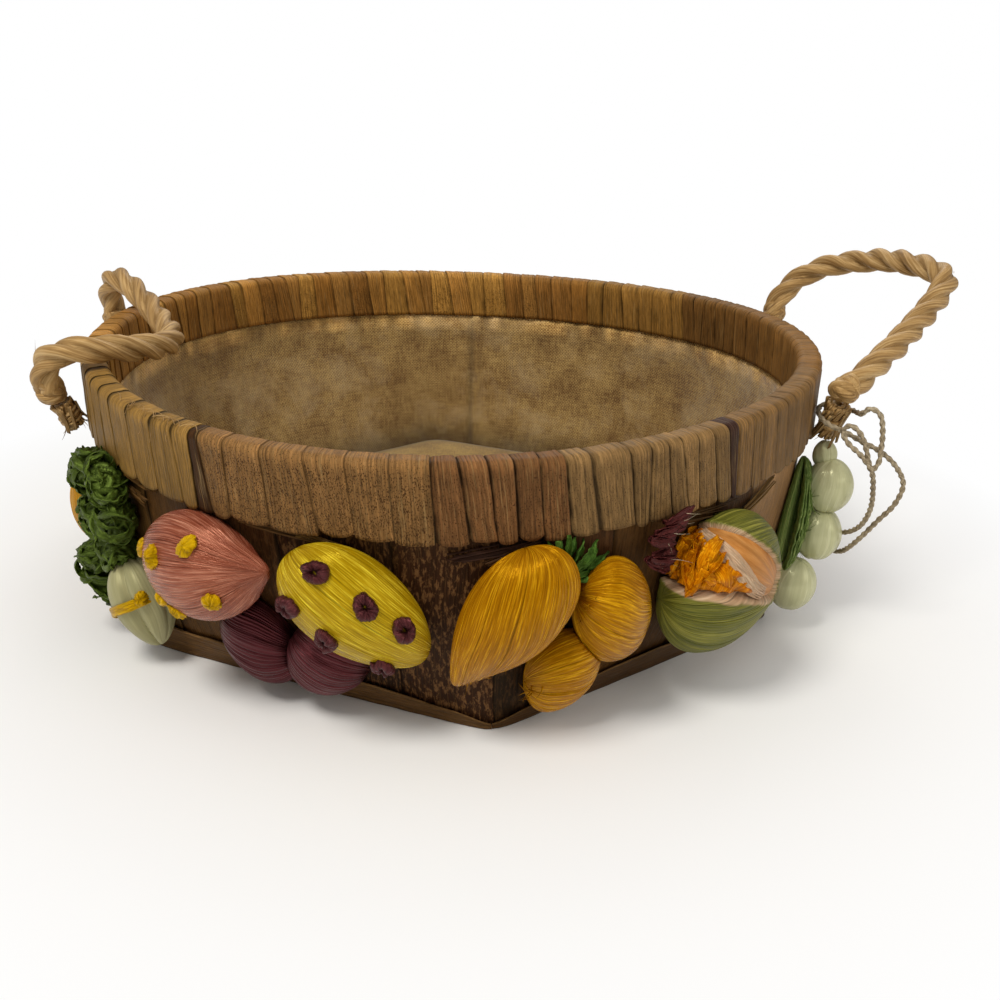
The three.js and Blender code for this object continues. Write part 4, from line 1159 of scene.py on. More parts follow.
def settle(points, middle, neighbours):
    """Draws points that lie in the wall or a neighbour back towards the middle of their own form."""
    flat = points.reshape(-1, 3)
    steps = np.linspace(0.12, 1, SETTLE_STEPS)
    near = [(thing, placed) for thing, placed in neighbours
            if np.linalg.norm(placed[0] - middle) < NEIGHBOUR_REACH]
    hits = np.array([taken(middle + (flat - middle) * step, near) for step in steps])
    pressed = hits.any(0)
    first = hits.argmax(0)
    low = np.where(first > 0, steps[np.maximum(first - 1, 0)], 0.05)
    high = steps[first]
    some = flat[pressed]
    low, high = low[pressed], high[pressed]
    for _ in range(SETTLE_HALVINGS):
        half = (low + high) / 2
        inside = taken(middle + (some - middle) * half[:, None], near)
        low, high = np.where(inside, low, half), np.where(inside, half, high)
    out = flat.copy()
    out[pressed] = middle + (some - middle) * low[:, None]
    return out.reshape(points.shape)


BUNDLE_SHARES = np.array([0.0, 0.25, 0.5, 0.75])
BUNDLE_HEIGHTS = np.array([0.0, 0.8, 1.0, 0.8])
DEEP_BUNDLES_SHARE = 0.12
POLE_ASIDE = (0.0, 0.25, 1.0)


def wound(name, thing, turn, neighbours, material, node, slot, rows, seed, pole=(1, 0, 0), bundles=110,
          ridge=0.16, wander=0.05, point=0.0, point_way=(1, 0, 0), blunt=0.0, lobes=None, sink=None,
          hide=0.0, swell=0.0, fill=0.9):
    """A stuffed form wound with fibre from pole to pole, pressed against the wall and its neighbours.

    Ridge is the depth between bundles, hide turns the poles to the wall, point draws one end out and
    blunt draws the other in, lobes are a count, depth and shift, and sink reshapes the finished form.
    """
    random = np.random.default_rng(seed)
    widths = random.uniform(0.5, 1.5, bundles)
    deep = np.where(random.random(bundles) < DEEP_BUNDLES_SHARE, 2.6, random.uniform(0.5, 1.2, bundles))
    edges = np.concatenate([[0], np.cumsum(widths)]) / widths.sum() * TURN
    bundle = np.repeat(np.arange(bundles), len(BUNDLE_SHARES))
    share = np.tile(BUNDLE_SHARES, bundles)
    around = (edges[bundle] * (1 - share) + edges[bundle + 1] * share)[None, :]
    height = np.tile(BUNDLE_HEIGHTS, bundles)[None, :]
    down = (np.linspace(0, 1, rows) * (math.pi - 0.05) + 0.025)[:, None]
    swing = around + wander * smooth_noise(seed + 1, 3 + 1.2 * np.cos(around), down * 1.6)
    swing = swing + 0.012 * smooth_noise(seed + 2, bundle[None, :] + 0.5, down * 2.5)
    pole = unit(pole)
    first, second = axes_across(pole, POLE_ASIDE)
    sphere = (np.cos(down)[..., None] * pole + (np.sin(down) * np.cos(swing))[..., None] * first
              + (np.sin(down) * np.sin(swing))[..., None] * second)
    sphere = unit(sphere - hide * (np.cos(down) ** 2)[..., None] * np.array([0.0, 0.0, 1.0]))
    local = on_form(thing, sphere, swell)
    normal = unit(sphere / thing["half"])
    poleward = ease(np.sin(down), 0.0, 0.4)
    depth_here = deep[bundle][None, :] * (1 + 0.5 * smooth_noise(seed + 3, bundle[None, :], down * 2))
    dents = 0.22 * smooth_noise(seed + 4, 30 + 2.2 * np.cos(around), 30 + 2.2 * np.sin(around) + down)
    rise = -ridge * (1 - height) * depth_here * poleward + dents * poleward
    if lobes:
        count, depth, shift = lobes
        rise = rise - depth * (1 - np.abs(np.cos(count * around / 2 + shift))) ** 1.6 * np.sin(down) ** 0.7
    local = local + normal * rise[..., None]
    if point:
        near = np.clip((sphere @ unit(point_way) - 0.72) / 0.28, 0, 1) ** 2.6
        local = local + point * near[..., None] * unit(point_way)
    local[..., 0] -= blunt * np.clip((-sphere[..., 0] - 0.2) / 0.8, 0, 1) ** 1.5
    extra = {}
    if sink:
        local, extra = sink(local, sphere, normal)
    placed = item_frame(thing, turn)
    points = settle(placed[0] + local @ placed[1], placed[0], neighbours)
    reach = (thing["half"][1] + thing["half"][2]) / 2
    fibre = joined(reach * np.cos(around), reach * np.sin(around) + seed, down * thing["half"].mean())
    tint = random.uniform(-1, 1, bundles)[bundle][None, :] + 0 * down
    # Painted shade in the grooves between bundles, darker where bundles sink deeper.
    groove = np.clip((1 - height) * deep[bundle][None, :] * 0.42, 0, 1) * np.sin(down) ** 0.5
    groove = groove * min(1, ridge / 0.1)
    shape = Shape()
    shape.add_grid(points, fibre=fibre, tint=tint, groove=groove, **extra)
    make_piece(name, shape, material, node)
    return placed


def on_surface(thing, placed, direction, lift):
    """A place on an item's surface, with its normal."""
    direction = unit(direction)
    local = over_form(thing, direction, lift)
    return placed[0] + local @ placed[1], unit(unit(direction / thing["half"]) @ placed[1])


KNOT_ASIDE = (0.2, 0.1, 1.0)
KNOT_ROWS, KNOT_COLUMNS = 18, 30
KNOT_WRINKLE = 0.22
ROSETTE_STEPS, ROSETTE_TUBE_POINTS = 84, 18


def add_blob(shape, centre, normal, sizes, seed, turned=0.0):
    """A small crumpled knot of fibre."""
    random = np.random.default_rng(seed)
    first, second = axes_across(normal, KNOT_ASIDE, turned)
    down = np.linspace(0.04, math.pi - 0.04, KNOT_ROWS)[:, None]
    around = angles_round(KNOT_COLUMNS)[None, :]
    shift = random.uniform(0, 200)
    wave = smooth_noise(seed, 60 + 3.2 * np.cos(around) + shift, 60 + 3.2 * np.sin(around) + down * 2.2)
    folds = 1 + KNOT_WRINKLE * (0.6 - 2 * np.abs(wave))
    parts = (np.sin(down) * np.cos(around), np.sin(down) * np.sin(around), np.cos(down) + 0 * around)
    points = centre + sum((part * folds * size)[..., None] * axis
                          for part, size, axis in zip(parts, sizes, (first, second, normal)))
    fibre = joined(4 * np.cos(around) + shift, 4 * np.sin(around), 2 * down)
    # Painted shade in the knot's creases.
    shape.add_grid(points, fibre=fibre, groove=np.clip(np.abs(wave) * 1.1 - 0.15, 0, 1),
                   tint=np.full(wave.shape, random.uniform(-0.8, 0.8)))


def add_rosette(shape, centre, normal, radius, seed):
    """A small crumpled button of fibre wound through its middle."""
    random = np.random.default_rng(seed)
    turned = random.uniform(0, math.pi)
    first, second = axes_across(normal, KNOT_ASIDE, turned)
    major = angles_round(ROSETTE_STEPS)[:, None]
    minor = angles_round(ROSETTE_TUBE_POINTS)[None, :]
    around = 50 + 2.4 * np.cos(major), 50 + 2.4 * np.sin(major)
    twist = 1.6 * smooth_noise(seed + 1, *around)
    wraps = np.abs(np.sin(major * 8 + twist + 0.5 * np.sin(minor)))
    bulge = 1 + 0.16 * smooth_noise(seed + 2, around[0], around[1] + 0 * minor)
    tube = radius * (0.38 + 0.06 * wraps ** 0.5) * bulge
    ring = radius * (0.55 + 0.07 * smooth_noise(seed + 3, *around))
    flat = ring + tube * np.cos(minor)
    lift = 0.22 * radius * smooth_noise(seed + 4, *around)
    points = (centre + (flat * np.cos(major) * 1.12)[..., None] * first
              + (flat * np.sin(major) * 0.9)[..., None] * second
              + (tube * np.sin(minor) + lift)[..., None] * normal)
    fibre = joined(4.5 * radius * np.cos(major), 4.5 * radius * np.sin(major) + seed, minor * 0.8)
    # Painted shade between the wraps, and on the ring's inner side toward its hole.
    groove = np.clip(1.1 - wraps + 0.7 * (np.cos(minor) < -0.3), 0, 1)
    shape.add_grid(points, close_rows=True, fibre=fibre, groove=groove,
                   tint=smooth_noise(seed + 5, major * 6, minor))


TAPER_SHARE = 0.3


def add_ribbon(shape, line, facing, width, seed, cup, crinkle, ends, tint, thickness=0.24, fit=None,
               jagged=0.0, ring=7):
    """A thin strip of ribbon along a line; ends are the shares of its width that its two ends keep.

    Fit moves its points off what lies there, and ring is the number of points across it.
    """
    line = np.asarray(line, float)
    along = unit(np.gradient(line, axis=0))
    facing = np.broadcast_to(facing, line.shape)
    across = unit(np.cross(facing, along))
    normal = np.cross(along, across)
    lengths = line_lengths(line)
    share = lengths / lengths[-1]
    taper = np.minimum(*(end + (1 - end) * ease(way, 0, TAPER_SHARE)
                         for end, way in zip(ends, (share, 1 - share))))
    notch = 1 - jagged * np.abs((share * 7 + 0.3 * seed) % 1 - 0.5) * 2
    half = (width / 2 * taper * notch)[:, None]
    u = np.linspace(-1, 1, ring)[None, :]
    wave = crinkle * smooth_noise(seed, 30 + u * 1.4 + seed * 0.31, lengths[:, None] * 0.8)
    offset = cup * width * (u ** 2 - 0.4) * taper[:, None] + wave
    top = line[:, None] + (u * half)[..., None] * across[:, None] + offset[..., None] * normal[:, None]
    low = top - thickness * normal[:, None] * np.ones((1, ring, 1))
    points = np.concatenate([top, low[:, ::-1]], 1)
    if fit:
        points = fit(points)
    fibre = joined(u * half + seed * 1.7, wave * 3, lengths[:, None])
    # Painted shade where the crinkle dips.
    groove = np.clip(0.35 - wave / max(crinkle, 0.05) * 0.5, 0, 1)
    shape.add_grid(points, fibre=np.concatenate([fibre, fibre[:, ::-1]], 1),
                   groove=np.concatenate([groove, groove[:, ::-1]], 1),
                   tint=np.full(points.shape[:2], tint))


def off_wall(points, clearance=0.35):
    """Moves points of a thin piece out of the wall, the rim band and the floor."""
    azimuth = np.arctan2(points[..., 1], points[..., 0])
    foot = rim_top(azimuth) - RIM_BAND_HEIGHT - 0.5
    radius = np.hypot(points[..., 0], points[..., 1])
    z = np.maximum(points[..., 2], FLOOR_CLEARANCE)
    z = np.where((radius < RIM_RADIUS + 0.4) & (z > foot), foot, z)
    folded = np.where(z < fold_top(azimuth) + SEAT_GAP, FOLD_GAP + FOLD_THICKNESS, 0)
    radius = np.maximum(radius, wall_radius(azimuth, z) + folded + clearance)
    return polar(radius, azimuth, z)


YELLOW_RAFFIA = raffia("yellow_raffia", "846802", "AE8A06", "EED83E", 0.19, shine=1.0, scale=3.4)
SALMON_RAFFIA = raffia("salmon_raffia", "66281A", "8A4630", "CA8C72", 0.2, shine=1.0, scale=3.2)
GOLDEN_RAFFIA = raffia("golden_raffia", "7C4A00", "9E6602", "E0A818", 0.17, shine=1.0, scale=3.4)
PLUM_RAFFIA = raffia("plum_raffia", "120606", "2C1113", "54292D", 0.34)
PALE_RAFFIA = raffia("pale_raffia", "8E8A64", "9C9870", "AEAA84", 0.45, 0.5, scale=0.7)
ORANGE_RAFFIA = raffia("orange_raffia", "8A5A04", "B98212", "DCA838", 0.36)
GREEN_RAFFIA = raffia("green_raffia", "121E06", "334210", "6C8038", 0.4)
SPRIG_RAFFIA = raffia("sprig_raffia", "0C1A08", "264412", "587632", 0.4)
POD_RAFFIA = raffia("pod_raffia", "2A4414", "567034", "A2B068", 0.45)
PETAL_RAFFIA = raffia("petal_raffia", "100304", "24080A", "4C2422", 0.3)
KNOT_RAFFIA = raffia("knot_raffia", "8A6000", "C89A04", "ECC420", 0.36)
ROSETTE_RAFFIA = raffia("rosette_raffia", "140406", "301013", "6E3E40", 0.3)
PEA_SATIN = raffia("pea_satin", "B0B08A", "BCBC94", "C8C8A4", 0.2, 0.3, shine=1.0, scale=0.7)
FLESH_RAFFIA = raffia("flesh_raffia", "9A6028", "B27438", "CA9254", 0.42)
RIND_EDGE_RAFFIA = raffia("rind_edge_raffia", "A07C5A", "C4A080", "DEC6A6", 0.45)
PULP_RAFFIA = raffia("pulp_raffia", "8A4200", "CA7402", "F4AE18", 0.2)
PALE_HAIR = raffia("pale_hair", "A89878", "C8B898", "E0D4BC", 0.5)

SALMON_KNOTS = [
    # direction on the fruit, half sizes in millimetres and turn in degrees
    ((-0.84, 0.36, 0.4), (1.7, 2.5, 1.5), 0), ((-0.4, 0.47, 0.79), (2.1, 2.9, 1.6), 10),
    ((0.2, 0.76, 0.62), (2.0, 2.9, 1.5), -25), ((0.44, -0.25, 0.86), (2.2, 2.4, 1.5), 40),
    ((-0.4, -0.62, 0.68), (2.1, 2.4, 1.4), 20), ((-0.62, -0.42, 0.66), (1.6, 2.1, 1.4), 0),
]
ROSETTES = [(-0.67, 0.51, 0.53), (-0.65, -0.34, 0.68), (-0.04, 0.66, 0.74), (0.48, 0.65, 0.58),
            (-0.11, -0.33, 0.94), (0.61, -0.37, 0.7)]
ROSETTE_RADIUS = 3.0
STITCH = [
    # direction on the bulb and height over it in millimetres
    ((0.1, -0.5, 0.9), -0.4), ((0.0, -0.26, 1), 0.5), ((-0.08, 0.3, 0.9), 0.7),
    ((-0.12, 0.72, 0.68), 0.6), ((-0.14, 0.95, 0.26), 0.4), ((-0.14, 0.98, 0.0), -0.3),
]
# The melon's mouth: its middle direction, right and up on the form, and outlines round that middle
MOUTH_AXES = np.array([(0.758, 0.0, 0.653), (0.196, 0.954, -0.228), (-0.622, 0.301, 0.723)])
MOUTH = [(-1.25, 0.1), (-0.58, 0.0), (-0.31, -0.02), (-0.03, -0.02), (0.28, -0.05), (0.77, -0.1),
         (0.85, 0.1), (0.82, 0.2), (0.5, 0.32), (0.15, 0.44), (-0.15, 0.54), (-0.5, 0.7), (-1.1, 0.78),
         (-1.3, 0.45)]
FLESH = [(-0.42, 0.66), (-0.15, 0.53), (0.15, 0.43), (0.5, 0.31), (0.79, 0.2), (0.8, -0.02), (0.46, -0.03),
         (0.25, 0.02), (0.08, 0.14), (-0.14, 0.28), (-0.4, 0.44), (-0.6, 0.6)]
PULP = [(-1.1, 0.16), (-1.12, 0.6), (-0.8, 0.74), (-0.5, 0.62), (-0.34, 0.42), (-0.1, 0.28), (0.1, 0.15),
        (0.26, 0.03), (-0.04, 0.02), (-0.32, 0.03), (-0.58, 0.06)]
FLESH_EDGE = [(-0.62, 0.66), (-0.4, 0.45), (-0.14, 0.29), (0.08, 0.15), (0.25, 0.03), (0.42, -0.03)]
MOUTH_SCALE = 25.0
PATCH_ROWS = 20


def mouth_place(sphere):
    """Place of directions on the melon in the flat outline of its mouth."""
    turned = sphere @ MOUTH_AXES.T
    return turned[..., :2] / np.maximum(1 + turned[..., 2:], 0.05)


def mouth_direction(flat):
    """Direction on the melon of a place in the flat outline of its mouth."""
    square = (flat ** 2).sum(-1, keepdims=True)
    turned = np.concatenate([2 * flat, 1 - square], -1) / (1 + square)
    return turned @ MOUTH_AXES


def outline_distance(points, outline):
    """Distance of flat points inside an outline, less than 0 outside it."""
    corners = np.asarray(outline, float)
    ends = np.roll(corners, -1, 0)
    best = np.full(points.shape[:-1], 1e9)
    inside = np.zeros(points.shape[:-1], bool)
    for a, b in zip(corners, ends):
        edge = b - a
        share = np.clip(((points - a) @ edge) / (edge @ edge), 0, 1)
        best = np.minimum(best, np.linalg.norm(points - a - share[..., None] * edge, axis=-1))
        crosses = (a[1] > points[..., 1]) != (b[1] > points[..., 1])
        rise = np.where(abs(b[1] - a[1]) < 1e-9, 1e-9, b[1] - a[1])
        inside ^= crosses & (points[..., 0] < a[0] + (points[..., 1] - a[1]) * (b[0] - a[0]) / rise)
    return np.where(inside, best, -best)


def melon_sink(local, sphere, normal):
    """Sinks the melon's mouth and marks its pale edge."""
    inside = outline_distance(mouth_place(sphere), MOUTH) * MOUTH_SCALE
    depth = 2.6 * ease(inside, -0.2, 1.2)
    lip = 0.4 * np.exp(-((inside + 0.8) / 0.8) ** 2)
    frayed = inside + 0.35 * smooth_noise(402, sphere[..., 0] * 9 + 40, sphere[..., 1] * 9 + 40)
    paint = ease(frayed, -0.5, -0.05)
    return local - normal * (depth - lip)[..., None], {"paint": paint}


def melon_patch(outline, depth, seed, ribs=0.0, crumple=0.0, corner=(0.9, 0.0)):
    """Local points, fibre and grooves of a patch of the melon's inside over an outline of its mouth."""
    corners = np.asarray(outline, float)
    loop = np.vstack([corners, corners[:1]])
    edge = even_line(np.column_stack([loop, 0 * loop[:, 0]]), 0.016)[:-1, :2]
    middle = edge.mean(0)
    top = np.linspace(0.02, 1, PATCH_ROWS)
    share = np.concatenate([top, np.linspace(1, 0.02, 5)])[:, None, None]
    flat = middle + (edge - middle)[None] * share
    direction = mouth_direction(flat)
    from_corner = flat - np.array(corner)
    angle = np.arctan2(from_corner[..., 1], from_corner[..., 0])
    distance = np.linalg.norm(from_corner, axis=-1) * MOUTH_SCALE
    wave = smooth_noise(seed, 80 + flat[..., 0] * 9, 80 + flat[..., 1] * 26)
    lines = np.abs(np.sin(angle * 22))
    rise = ribs * lines + crumple * (1 - 2 * np.abs(wave)) - depth
    under = (np.arange(len(share)) >= PATCH_ROWS)[:, None]
    rise = np.where(under, -depth - 1.4, rise)
    local = over_form(MELON, direction, rise[..., None])
    fibre = joined(angle * 12, float(seed), distance)
    # Painted shade between the flesh's ribs, or in the hollows of the pulp's crumples.
    groove = (1 - lines) * 0.45 if ribs else np.clip(np.abs(wave), 0, 1)
    return local, fibre, groove


def rind(name):
    """The melon's rind: green fibre, with pale pink where the paint attribute is 1."""
    look = Surface(name, Specular_IOR_Level=0.4, Specular_Tint=(0.95, 1.0, 0.45, 1))
    fibre = look.attribute("fibre", "Vector")
    fine = look.streaks(fibre, (1, 1, 0.05), 2.4, 4.0, 0.65)
    broad = look.streaks(fibre, (1, 1, 0.12), 0.3, 2.0, 0.5)
    value = look.add(fine, look.times(look.attribute("tint"), 0.08))
    value = look.add(value, look.spread(broad, 0.3, 0.7, -0.09, 0.09))
    green = look.ramp(value, (0.25, tone("3A4218")), (0.5, tone("646422")), (0.8, tone("9E9A44")))
    pink = look.ramp(value, (0.3, tone("A88464")), (0.5, tone("C09E7E")), (0.75, tone("D8BEA0")))
    color = look.mix(look.attribute("paint"), green, pink)
    # Painted shade darkens the grooves between bundles.
    color = look.shade_over(color, look.attribute("groove"), 0.0, 1.0, 1.04, 0.45)
    return look.finish(color, look.spread(fine, 0.3, 0.7, 0.34, 0.54), fine, 0.12)


MELON_RIND = rind("melon_rind")


def add_knots(name, thing, placed):
    shape = Shape()
    for place, (direction, sizes, turned) in enumerate(SALMON_KNOTS):
        spot, normal = on_surface(thing, placed, direction, 0.5)
        add_blob(shape, spot, normal, sizes, 300 + place, turned=math.radians(turned))
    make_piece(name, shape, KNOT_RAFFIA)


def add_rosettes(name, thing, placed):
    shape = Shape()
    for place, direction in enumerate(ROSETTES):
        spot, normal = on_surface(thing, placed, direction, 0.35)
        add_rosette(shape, spot, normal, ROSETTE_RADIUS, 330 + 7 * place)
    make_piece(name, shape, ROSETTE_RAFFIA)


def add_stitch(name, thing, placed):
    """A flat yellow stitch that binds the bulb's lobes, with a knot at its end."""
    shape = Shape()
    corners = [on_surface(thing, placed, direction, lift)[0] for direction, lift in STITCH]
    line = even_line(smooth_line(np.array(corners), 10), 0.5)
    middle, axes = placed
    for side in (-1, 0, 1):
        add_ribbon(shape, line + axes[0] * side * 0.75, line - middle, 1.2, 320 + side, cup=-0.2,
                   crinkle=0.12, ends=(0.8, 0.8), tint=0.4 * side)
    spot, normal = on_surface(thing, placed, (-0.2, 0.93, 0.35), 0.9)
    add_blob(shape, spot, normal, (1.6, 2.0, 1.4), 325)
    make_piece(name, shape, KNOT_RAFFIA)


FLESH_STRANDS = 7
PULP_RIBBONS = 38
PETAL_BLADES = 4
SPRIG_BLADES = 11
POD_BLADES = 15
POD_BLADE_HAIRS = 4
CURL_STRIPS = 28
CURL_STRIP_POINTS = 32
CORE_ROWS, CORE_COLUMNS = 32, 52


def add_melon_inside(prefix, placed):
    """The melon's flesh with its pale edge, and the ribbons of its pulp."""
    middle, axes = placed
    flesh = Shape()
    local, fibre, groove = melon_patch(FLESH, 1.0, 410, ribs=0.14)
    flesh.add_grid(off_wall(middle + local @ axes), fibre=fibre, groove=groove,
                   tint=smooth_noise(411, fibre[..., 0] * 0.9))
    pale = Shape()
    for strand in range(FLESH_STRANDS):
        edge_line = np.array(FLESH_EDGE) + 0.018 * (strand - 1) * np.array([0.6, 0.8])
        flat = even_line(smooth_line(np.column_stack([edge_line, 0 * edge_line[:, 0]]), 8), 0.02)[:, :2]
        direction = mouth_direction(flat)
        local = over_form(MELON, direction, -0.35 - 0.12 * abs(strand - 3))
        add_ribbon(pale, middle + local @ axes, unit(direction) @ axes, 1.0, 412 + strand, cup=-0.3,
                   crinkle=0.12, ends=(0.4, 0.4), tint=0.3 * (strand - 3), fit=off_wall)
    make_piece(f"{prefix}melon_flesh_edge", pale, RIND_EDGE_RAFFIA)
    make_piece(f"{prefix}melon_flesh_padded", flesh, FLESH_RAFFIA,
                         f"{prefix}melon_flesh")
    pulp = Shape()
    local, fibre, groove = melon_patch(PULP, 0.8, 420, crumple=0.8, corner=(-0.2, -0.4))
    pulp.add_grid(off_wall(middle + local @ axes), fibre=fibre, groove=groove, tint=0 * groove - 0.6)
    random = np.random.default_rng(421)
    sewn = 0
    while sewn < PULP_RIBBONS:
        start = np.array([random.uniform(-1.05, 0.15), random.uniform(0.05, 0.68)])
        if outline_distance(start, PULP) < 0.05:
            continue
        angle = math.radians(random.choice([-35, 75, 10, 105]) + random.uniform(-25, 25))
        reach = random.uniform(0.22, 0.4)
        t = np.linspace(-0.5, 0.5, 15)[:, None]
        bend = random.uniform(-0.6, 0.6)
        heading = np.array([math.cos(angle), math.sin(angle)])
        side = np.array([-heading[1], heading[0]])
        flat = start + heading * reach * t + side * reach * bend * (t ** 2 - 0.1)
        direction = mouth_direction(flat)
        rise = -0.9 + 1.9 * np.cos(t * 2.7) + random.uniform(-0.5, 0.3)
        local = over_form(MELON, direction, rise)
        facing = (unit(direction) + 0.45 * random.normal(size=3)) @ axes
        add_ribbon(pulp, middle + local @ axes, facing, random.uniform(2.2, 4.0), 430 + sewn,
                   cup=random.uniform(-0.5, 0.5), crinkle=0.3, ends=(0.6, 0.6),
                   tint=any_tint(random), fit=off_wall)
        sewn += 1
    make_piece(f"{prefix}melon_pulp_ribbons", pulp, PULP_RAFFIA,
                         f"{prefix}melon_pulp")


def add_petals(prefix, turn):
    """Dark petals under the rim at the melon, with loose threads."""
    shape, hairs = Shape(), Shape()
    random = np.random.default_rng(460)
    starts, ways, reaches = [], [], []
    for place, thing in enumerate(PETALS):
        middle, axes = item_frame(thing, turn)
        for blade in range(PETAL_BLADES):
            beside = blade - (PETAL_BLADES - 1) / 2
            lean = random.uniform(-0.15, 0.15) + 0.12 * beside
            heading = unit(axes[0] + lean * axes[1] + random.uniform(-0.1, 0.15) * axes[2])
            side = np.cross(axes[2], heading)
            t = np.linspace(-0.5, 0.5, 21)[:, None]
            reach = random.uniform(6.8, 8.4)
            start = middle + axes[0] * 1.8 + axes[1] * 1.1 * beside + axes[2] * random.uniform(-0.8, 0.8)
            line = start + heading * reach * t
            line = line + axes[2] * 1.2 * (0.25 - t ** 2) + side * 0.6 * np.sin(3 * t)
            add_ribbon(shape, line, axes[2] + 0.35 * random.normal() * side, random.uniform(2.3, 3.1),
                       470 + place * PETAL_BLADES + blade, cup=0.35, crinkle=0.3, ends=(0.5, 0.06),
                       thickness=0.4, tint=any_tint(random), fit=off_wall)
            starts.append(line[12])
            ways.append(unit(heading + 0.3 * random.normal(size=3)))
            reaches.append(random.uniform(3, 5.5))
    make_piece(f"{prefix}melon_petal_blades", shape, PETAL_RAFFIA, f"{prefix}melon_petals")
    add_hairs(hairs, np.array(starts) + 0.5 * np.array(ways), ways, reaches, 480, 0.08, 0.2)
    make_piece(f"{prefix}melon_petal_threads", hairs, PALE_HAIR)


def add_sprig(prefix, turn):
    """The green blades over the golden fruit."""
    shape = Shape()
    middle, axes = item_frame(SPRIG, turn)
    random = np.random.default_rng(500)
    for blade in range(SPRIG_BLADES):
        side = 2 * blade / (SPRIG_BLADES - 1) - 1
        heading = unit(axes[0] * (1 - 0.3 * abs(side)) + axes[1] * 0.8 * side)
        start = middle - axes[0] * 6.5 + axes[1] * 1.2 * side + axes[2] * random.uniform(-1, 1.6)
        reach = random.uniform(10, 14) * (1 - 0.25 * abs(side))
        t = np.linspace(0, 1, 18)[:, None]
        line = start + heading * reach * t + axes[2] * 1.6 * np.sin(3 * t) + axes[1] * side * 1.5 * t ** 2
        facing = axes[2] + 0.5 * random.normal(size=3)
        add_ribbon(shape, line, facing, random.uniform(2.0, 2.9), 510 + blade, cup=random.uniform(-0.3, 0.4),
                   crinkle=0.5, ends=(0.4, 0.12), tint=any_tint(random), fit=off_wall, jagged=0.35)
    make_piece(f"{prefix}golden_sprig_blades", shape, SPRIG_RAFFIA, f"{prefix}golden_sprig")


def add_pod_leaf(prefix, turn, neighbours):
    """The folded pod leaf behind the peas, with blades and loose fibres over it."""
    middle, axes = wound(
        f"{prefix}pod_leaf_folded", POD_LEAF, turn, neighbours, POD_RAFFIA, f"{prefix}pod_leaf",
        "green_raffia", pole=(1, 0.03, 0), bundles=40, rows=60, ridge=0.3, wander=0.12, seed=530, fill=0.3)
    shape = Shape()
    random = np.random.default_rng(531)
    starts, ways, reaches = [], [], []
    for blade in range(POD_BLADES):
        side = 2 * blade / (POD_BLADES - 1) - 1
        t = np.linspace(-0.5, 0.5, 30)[:, None]
        full = np.cos(t * math.pi) ** 0.6
        line = middle + axes[0] * 36 * t + axes[1] * side * 9.2 * full
        line = line + axes[2] * (5.0 * full * (1 - 0.4 * side ** 2) + 0.5)
        add_ribbon(shape, line, axes[2] - 0.5 * side * axes[1], random.uniform(2.2, 3.2), 540 + blade,
                   cup=0.1, crinkle=0.35, ends=(0.2, 0.1), thickness=0.3, tint=any_tint(random),
                   fit=off_wall)
        for _ in range(POD_BLADE_HAIRS):
            starts.append(line[random.integers(4, 26)] + 0.3 * axes[2])
            way = axes[0] * random.choice([-1, 1]) + 0.35 * random.normal(size=3) + 0.3 * axes[2]
            ways.append(unit(way))
            reaches.append(random.uniform(2.5, 6.0))
    add_hairs(shape, starts, ways, reaches, 560, 0.1, 0.2)
    make_piece(f"{prefix}pod_leaf_blades", shape, POD_RAFFIA)


def add_curls(prefix, turn):
    """Curled strips of leaf in loose balls, each round a crumpled core."""
    shape = Shape()
    random = np.random.default_rng(560)
    for place, thing in enumerate(CURLS):
        middle, axes = item_frame(thing, turn)
        half = thing["half"]
        for strip in range(CURL_STRIPS):
            t = np.linspace(0, 1, CURL_STRIP_POINTS)
            start = random.uniform(0, TURN)
            sweep_angle = random.uniform(3.4, 7.2) * random.choice([-1, 1])
            tip = unit(random.normal(size=3) * (1, 0.8, 0.55))
            first, second = axes_across(tip, random.normal(size=3))
            angle = start + sweep_angle * t
            radius = random.uniform(0.3, 0.75) * (1 + 0.3 * np.sin(t * 5 + start))
            local = (np.cos(angle)[:, None] * first + np.sin(angle)[:, None] * second) * radius[:, None]
            local = local + tip * (0.25 + 0.5 * (t[:, None] - 0.5) + random.uniform(-0.2, 0.3))
            aside = [random.uniform(-2, 2), random.uniform(-2, 2), random.uniform(0, 1.4)]
            line = middle + (local * half + aside) @ axes
            add_ribbon(shape, line, line - middle + 2.0 * random.normal(size=3), random.uniform(1.1, 2.2),
                       580 + place * CURL_STRIPS + strip, cup=random.uniform(-0.5, 0.5), crinkle=0.7,
                       ends=(0.3, 0.15), thickness=0.26, tint=any_tint(random), ring=5,
                       fit=lambda p: off_wall(p, 0.2))
        down = np.linspace(0.05, math.pi - 0.05, CORE_ROWS)[:, None]
        around = angles_round(CORE_COLUMNS)[None, :]
        x, y, z = np.cos(down), np.sin(down) * np.cos(around), np.sin(down) * np.sin(around)
        ball = joined(x, y, z)
        wave = smooth_noise(600 + place, 40 + 3.6 * x + 2 * z, 40 + 5.2 * y + 3 * z)
        core = middle + (ball * half * (0.92 - 0.3 * np.abs(wave[..., None]))) @ axes
        # The core carries painted shade: darkest tint, and more shade in its creases, as it lies inside the
        # curls.
        shape.add_grid(off_wall(core, 0.2), fibre=ball * 6 + place,
                       groove=np.clip(0.4 + 1.2 * np.abs(wave), 0, 1), tint=0 * wave - 1)
    make_piece(f"{prefix}curled_leaf_ribbons", shape, GREEN_RAFFIA, f"{prefix}curled_leaves")


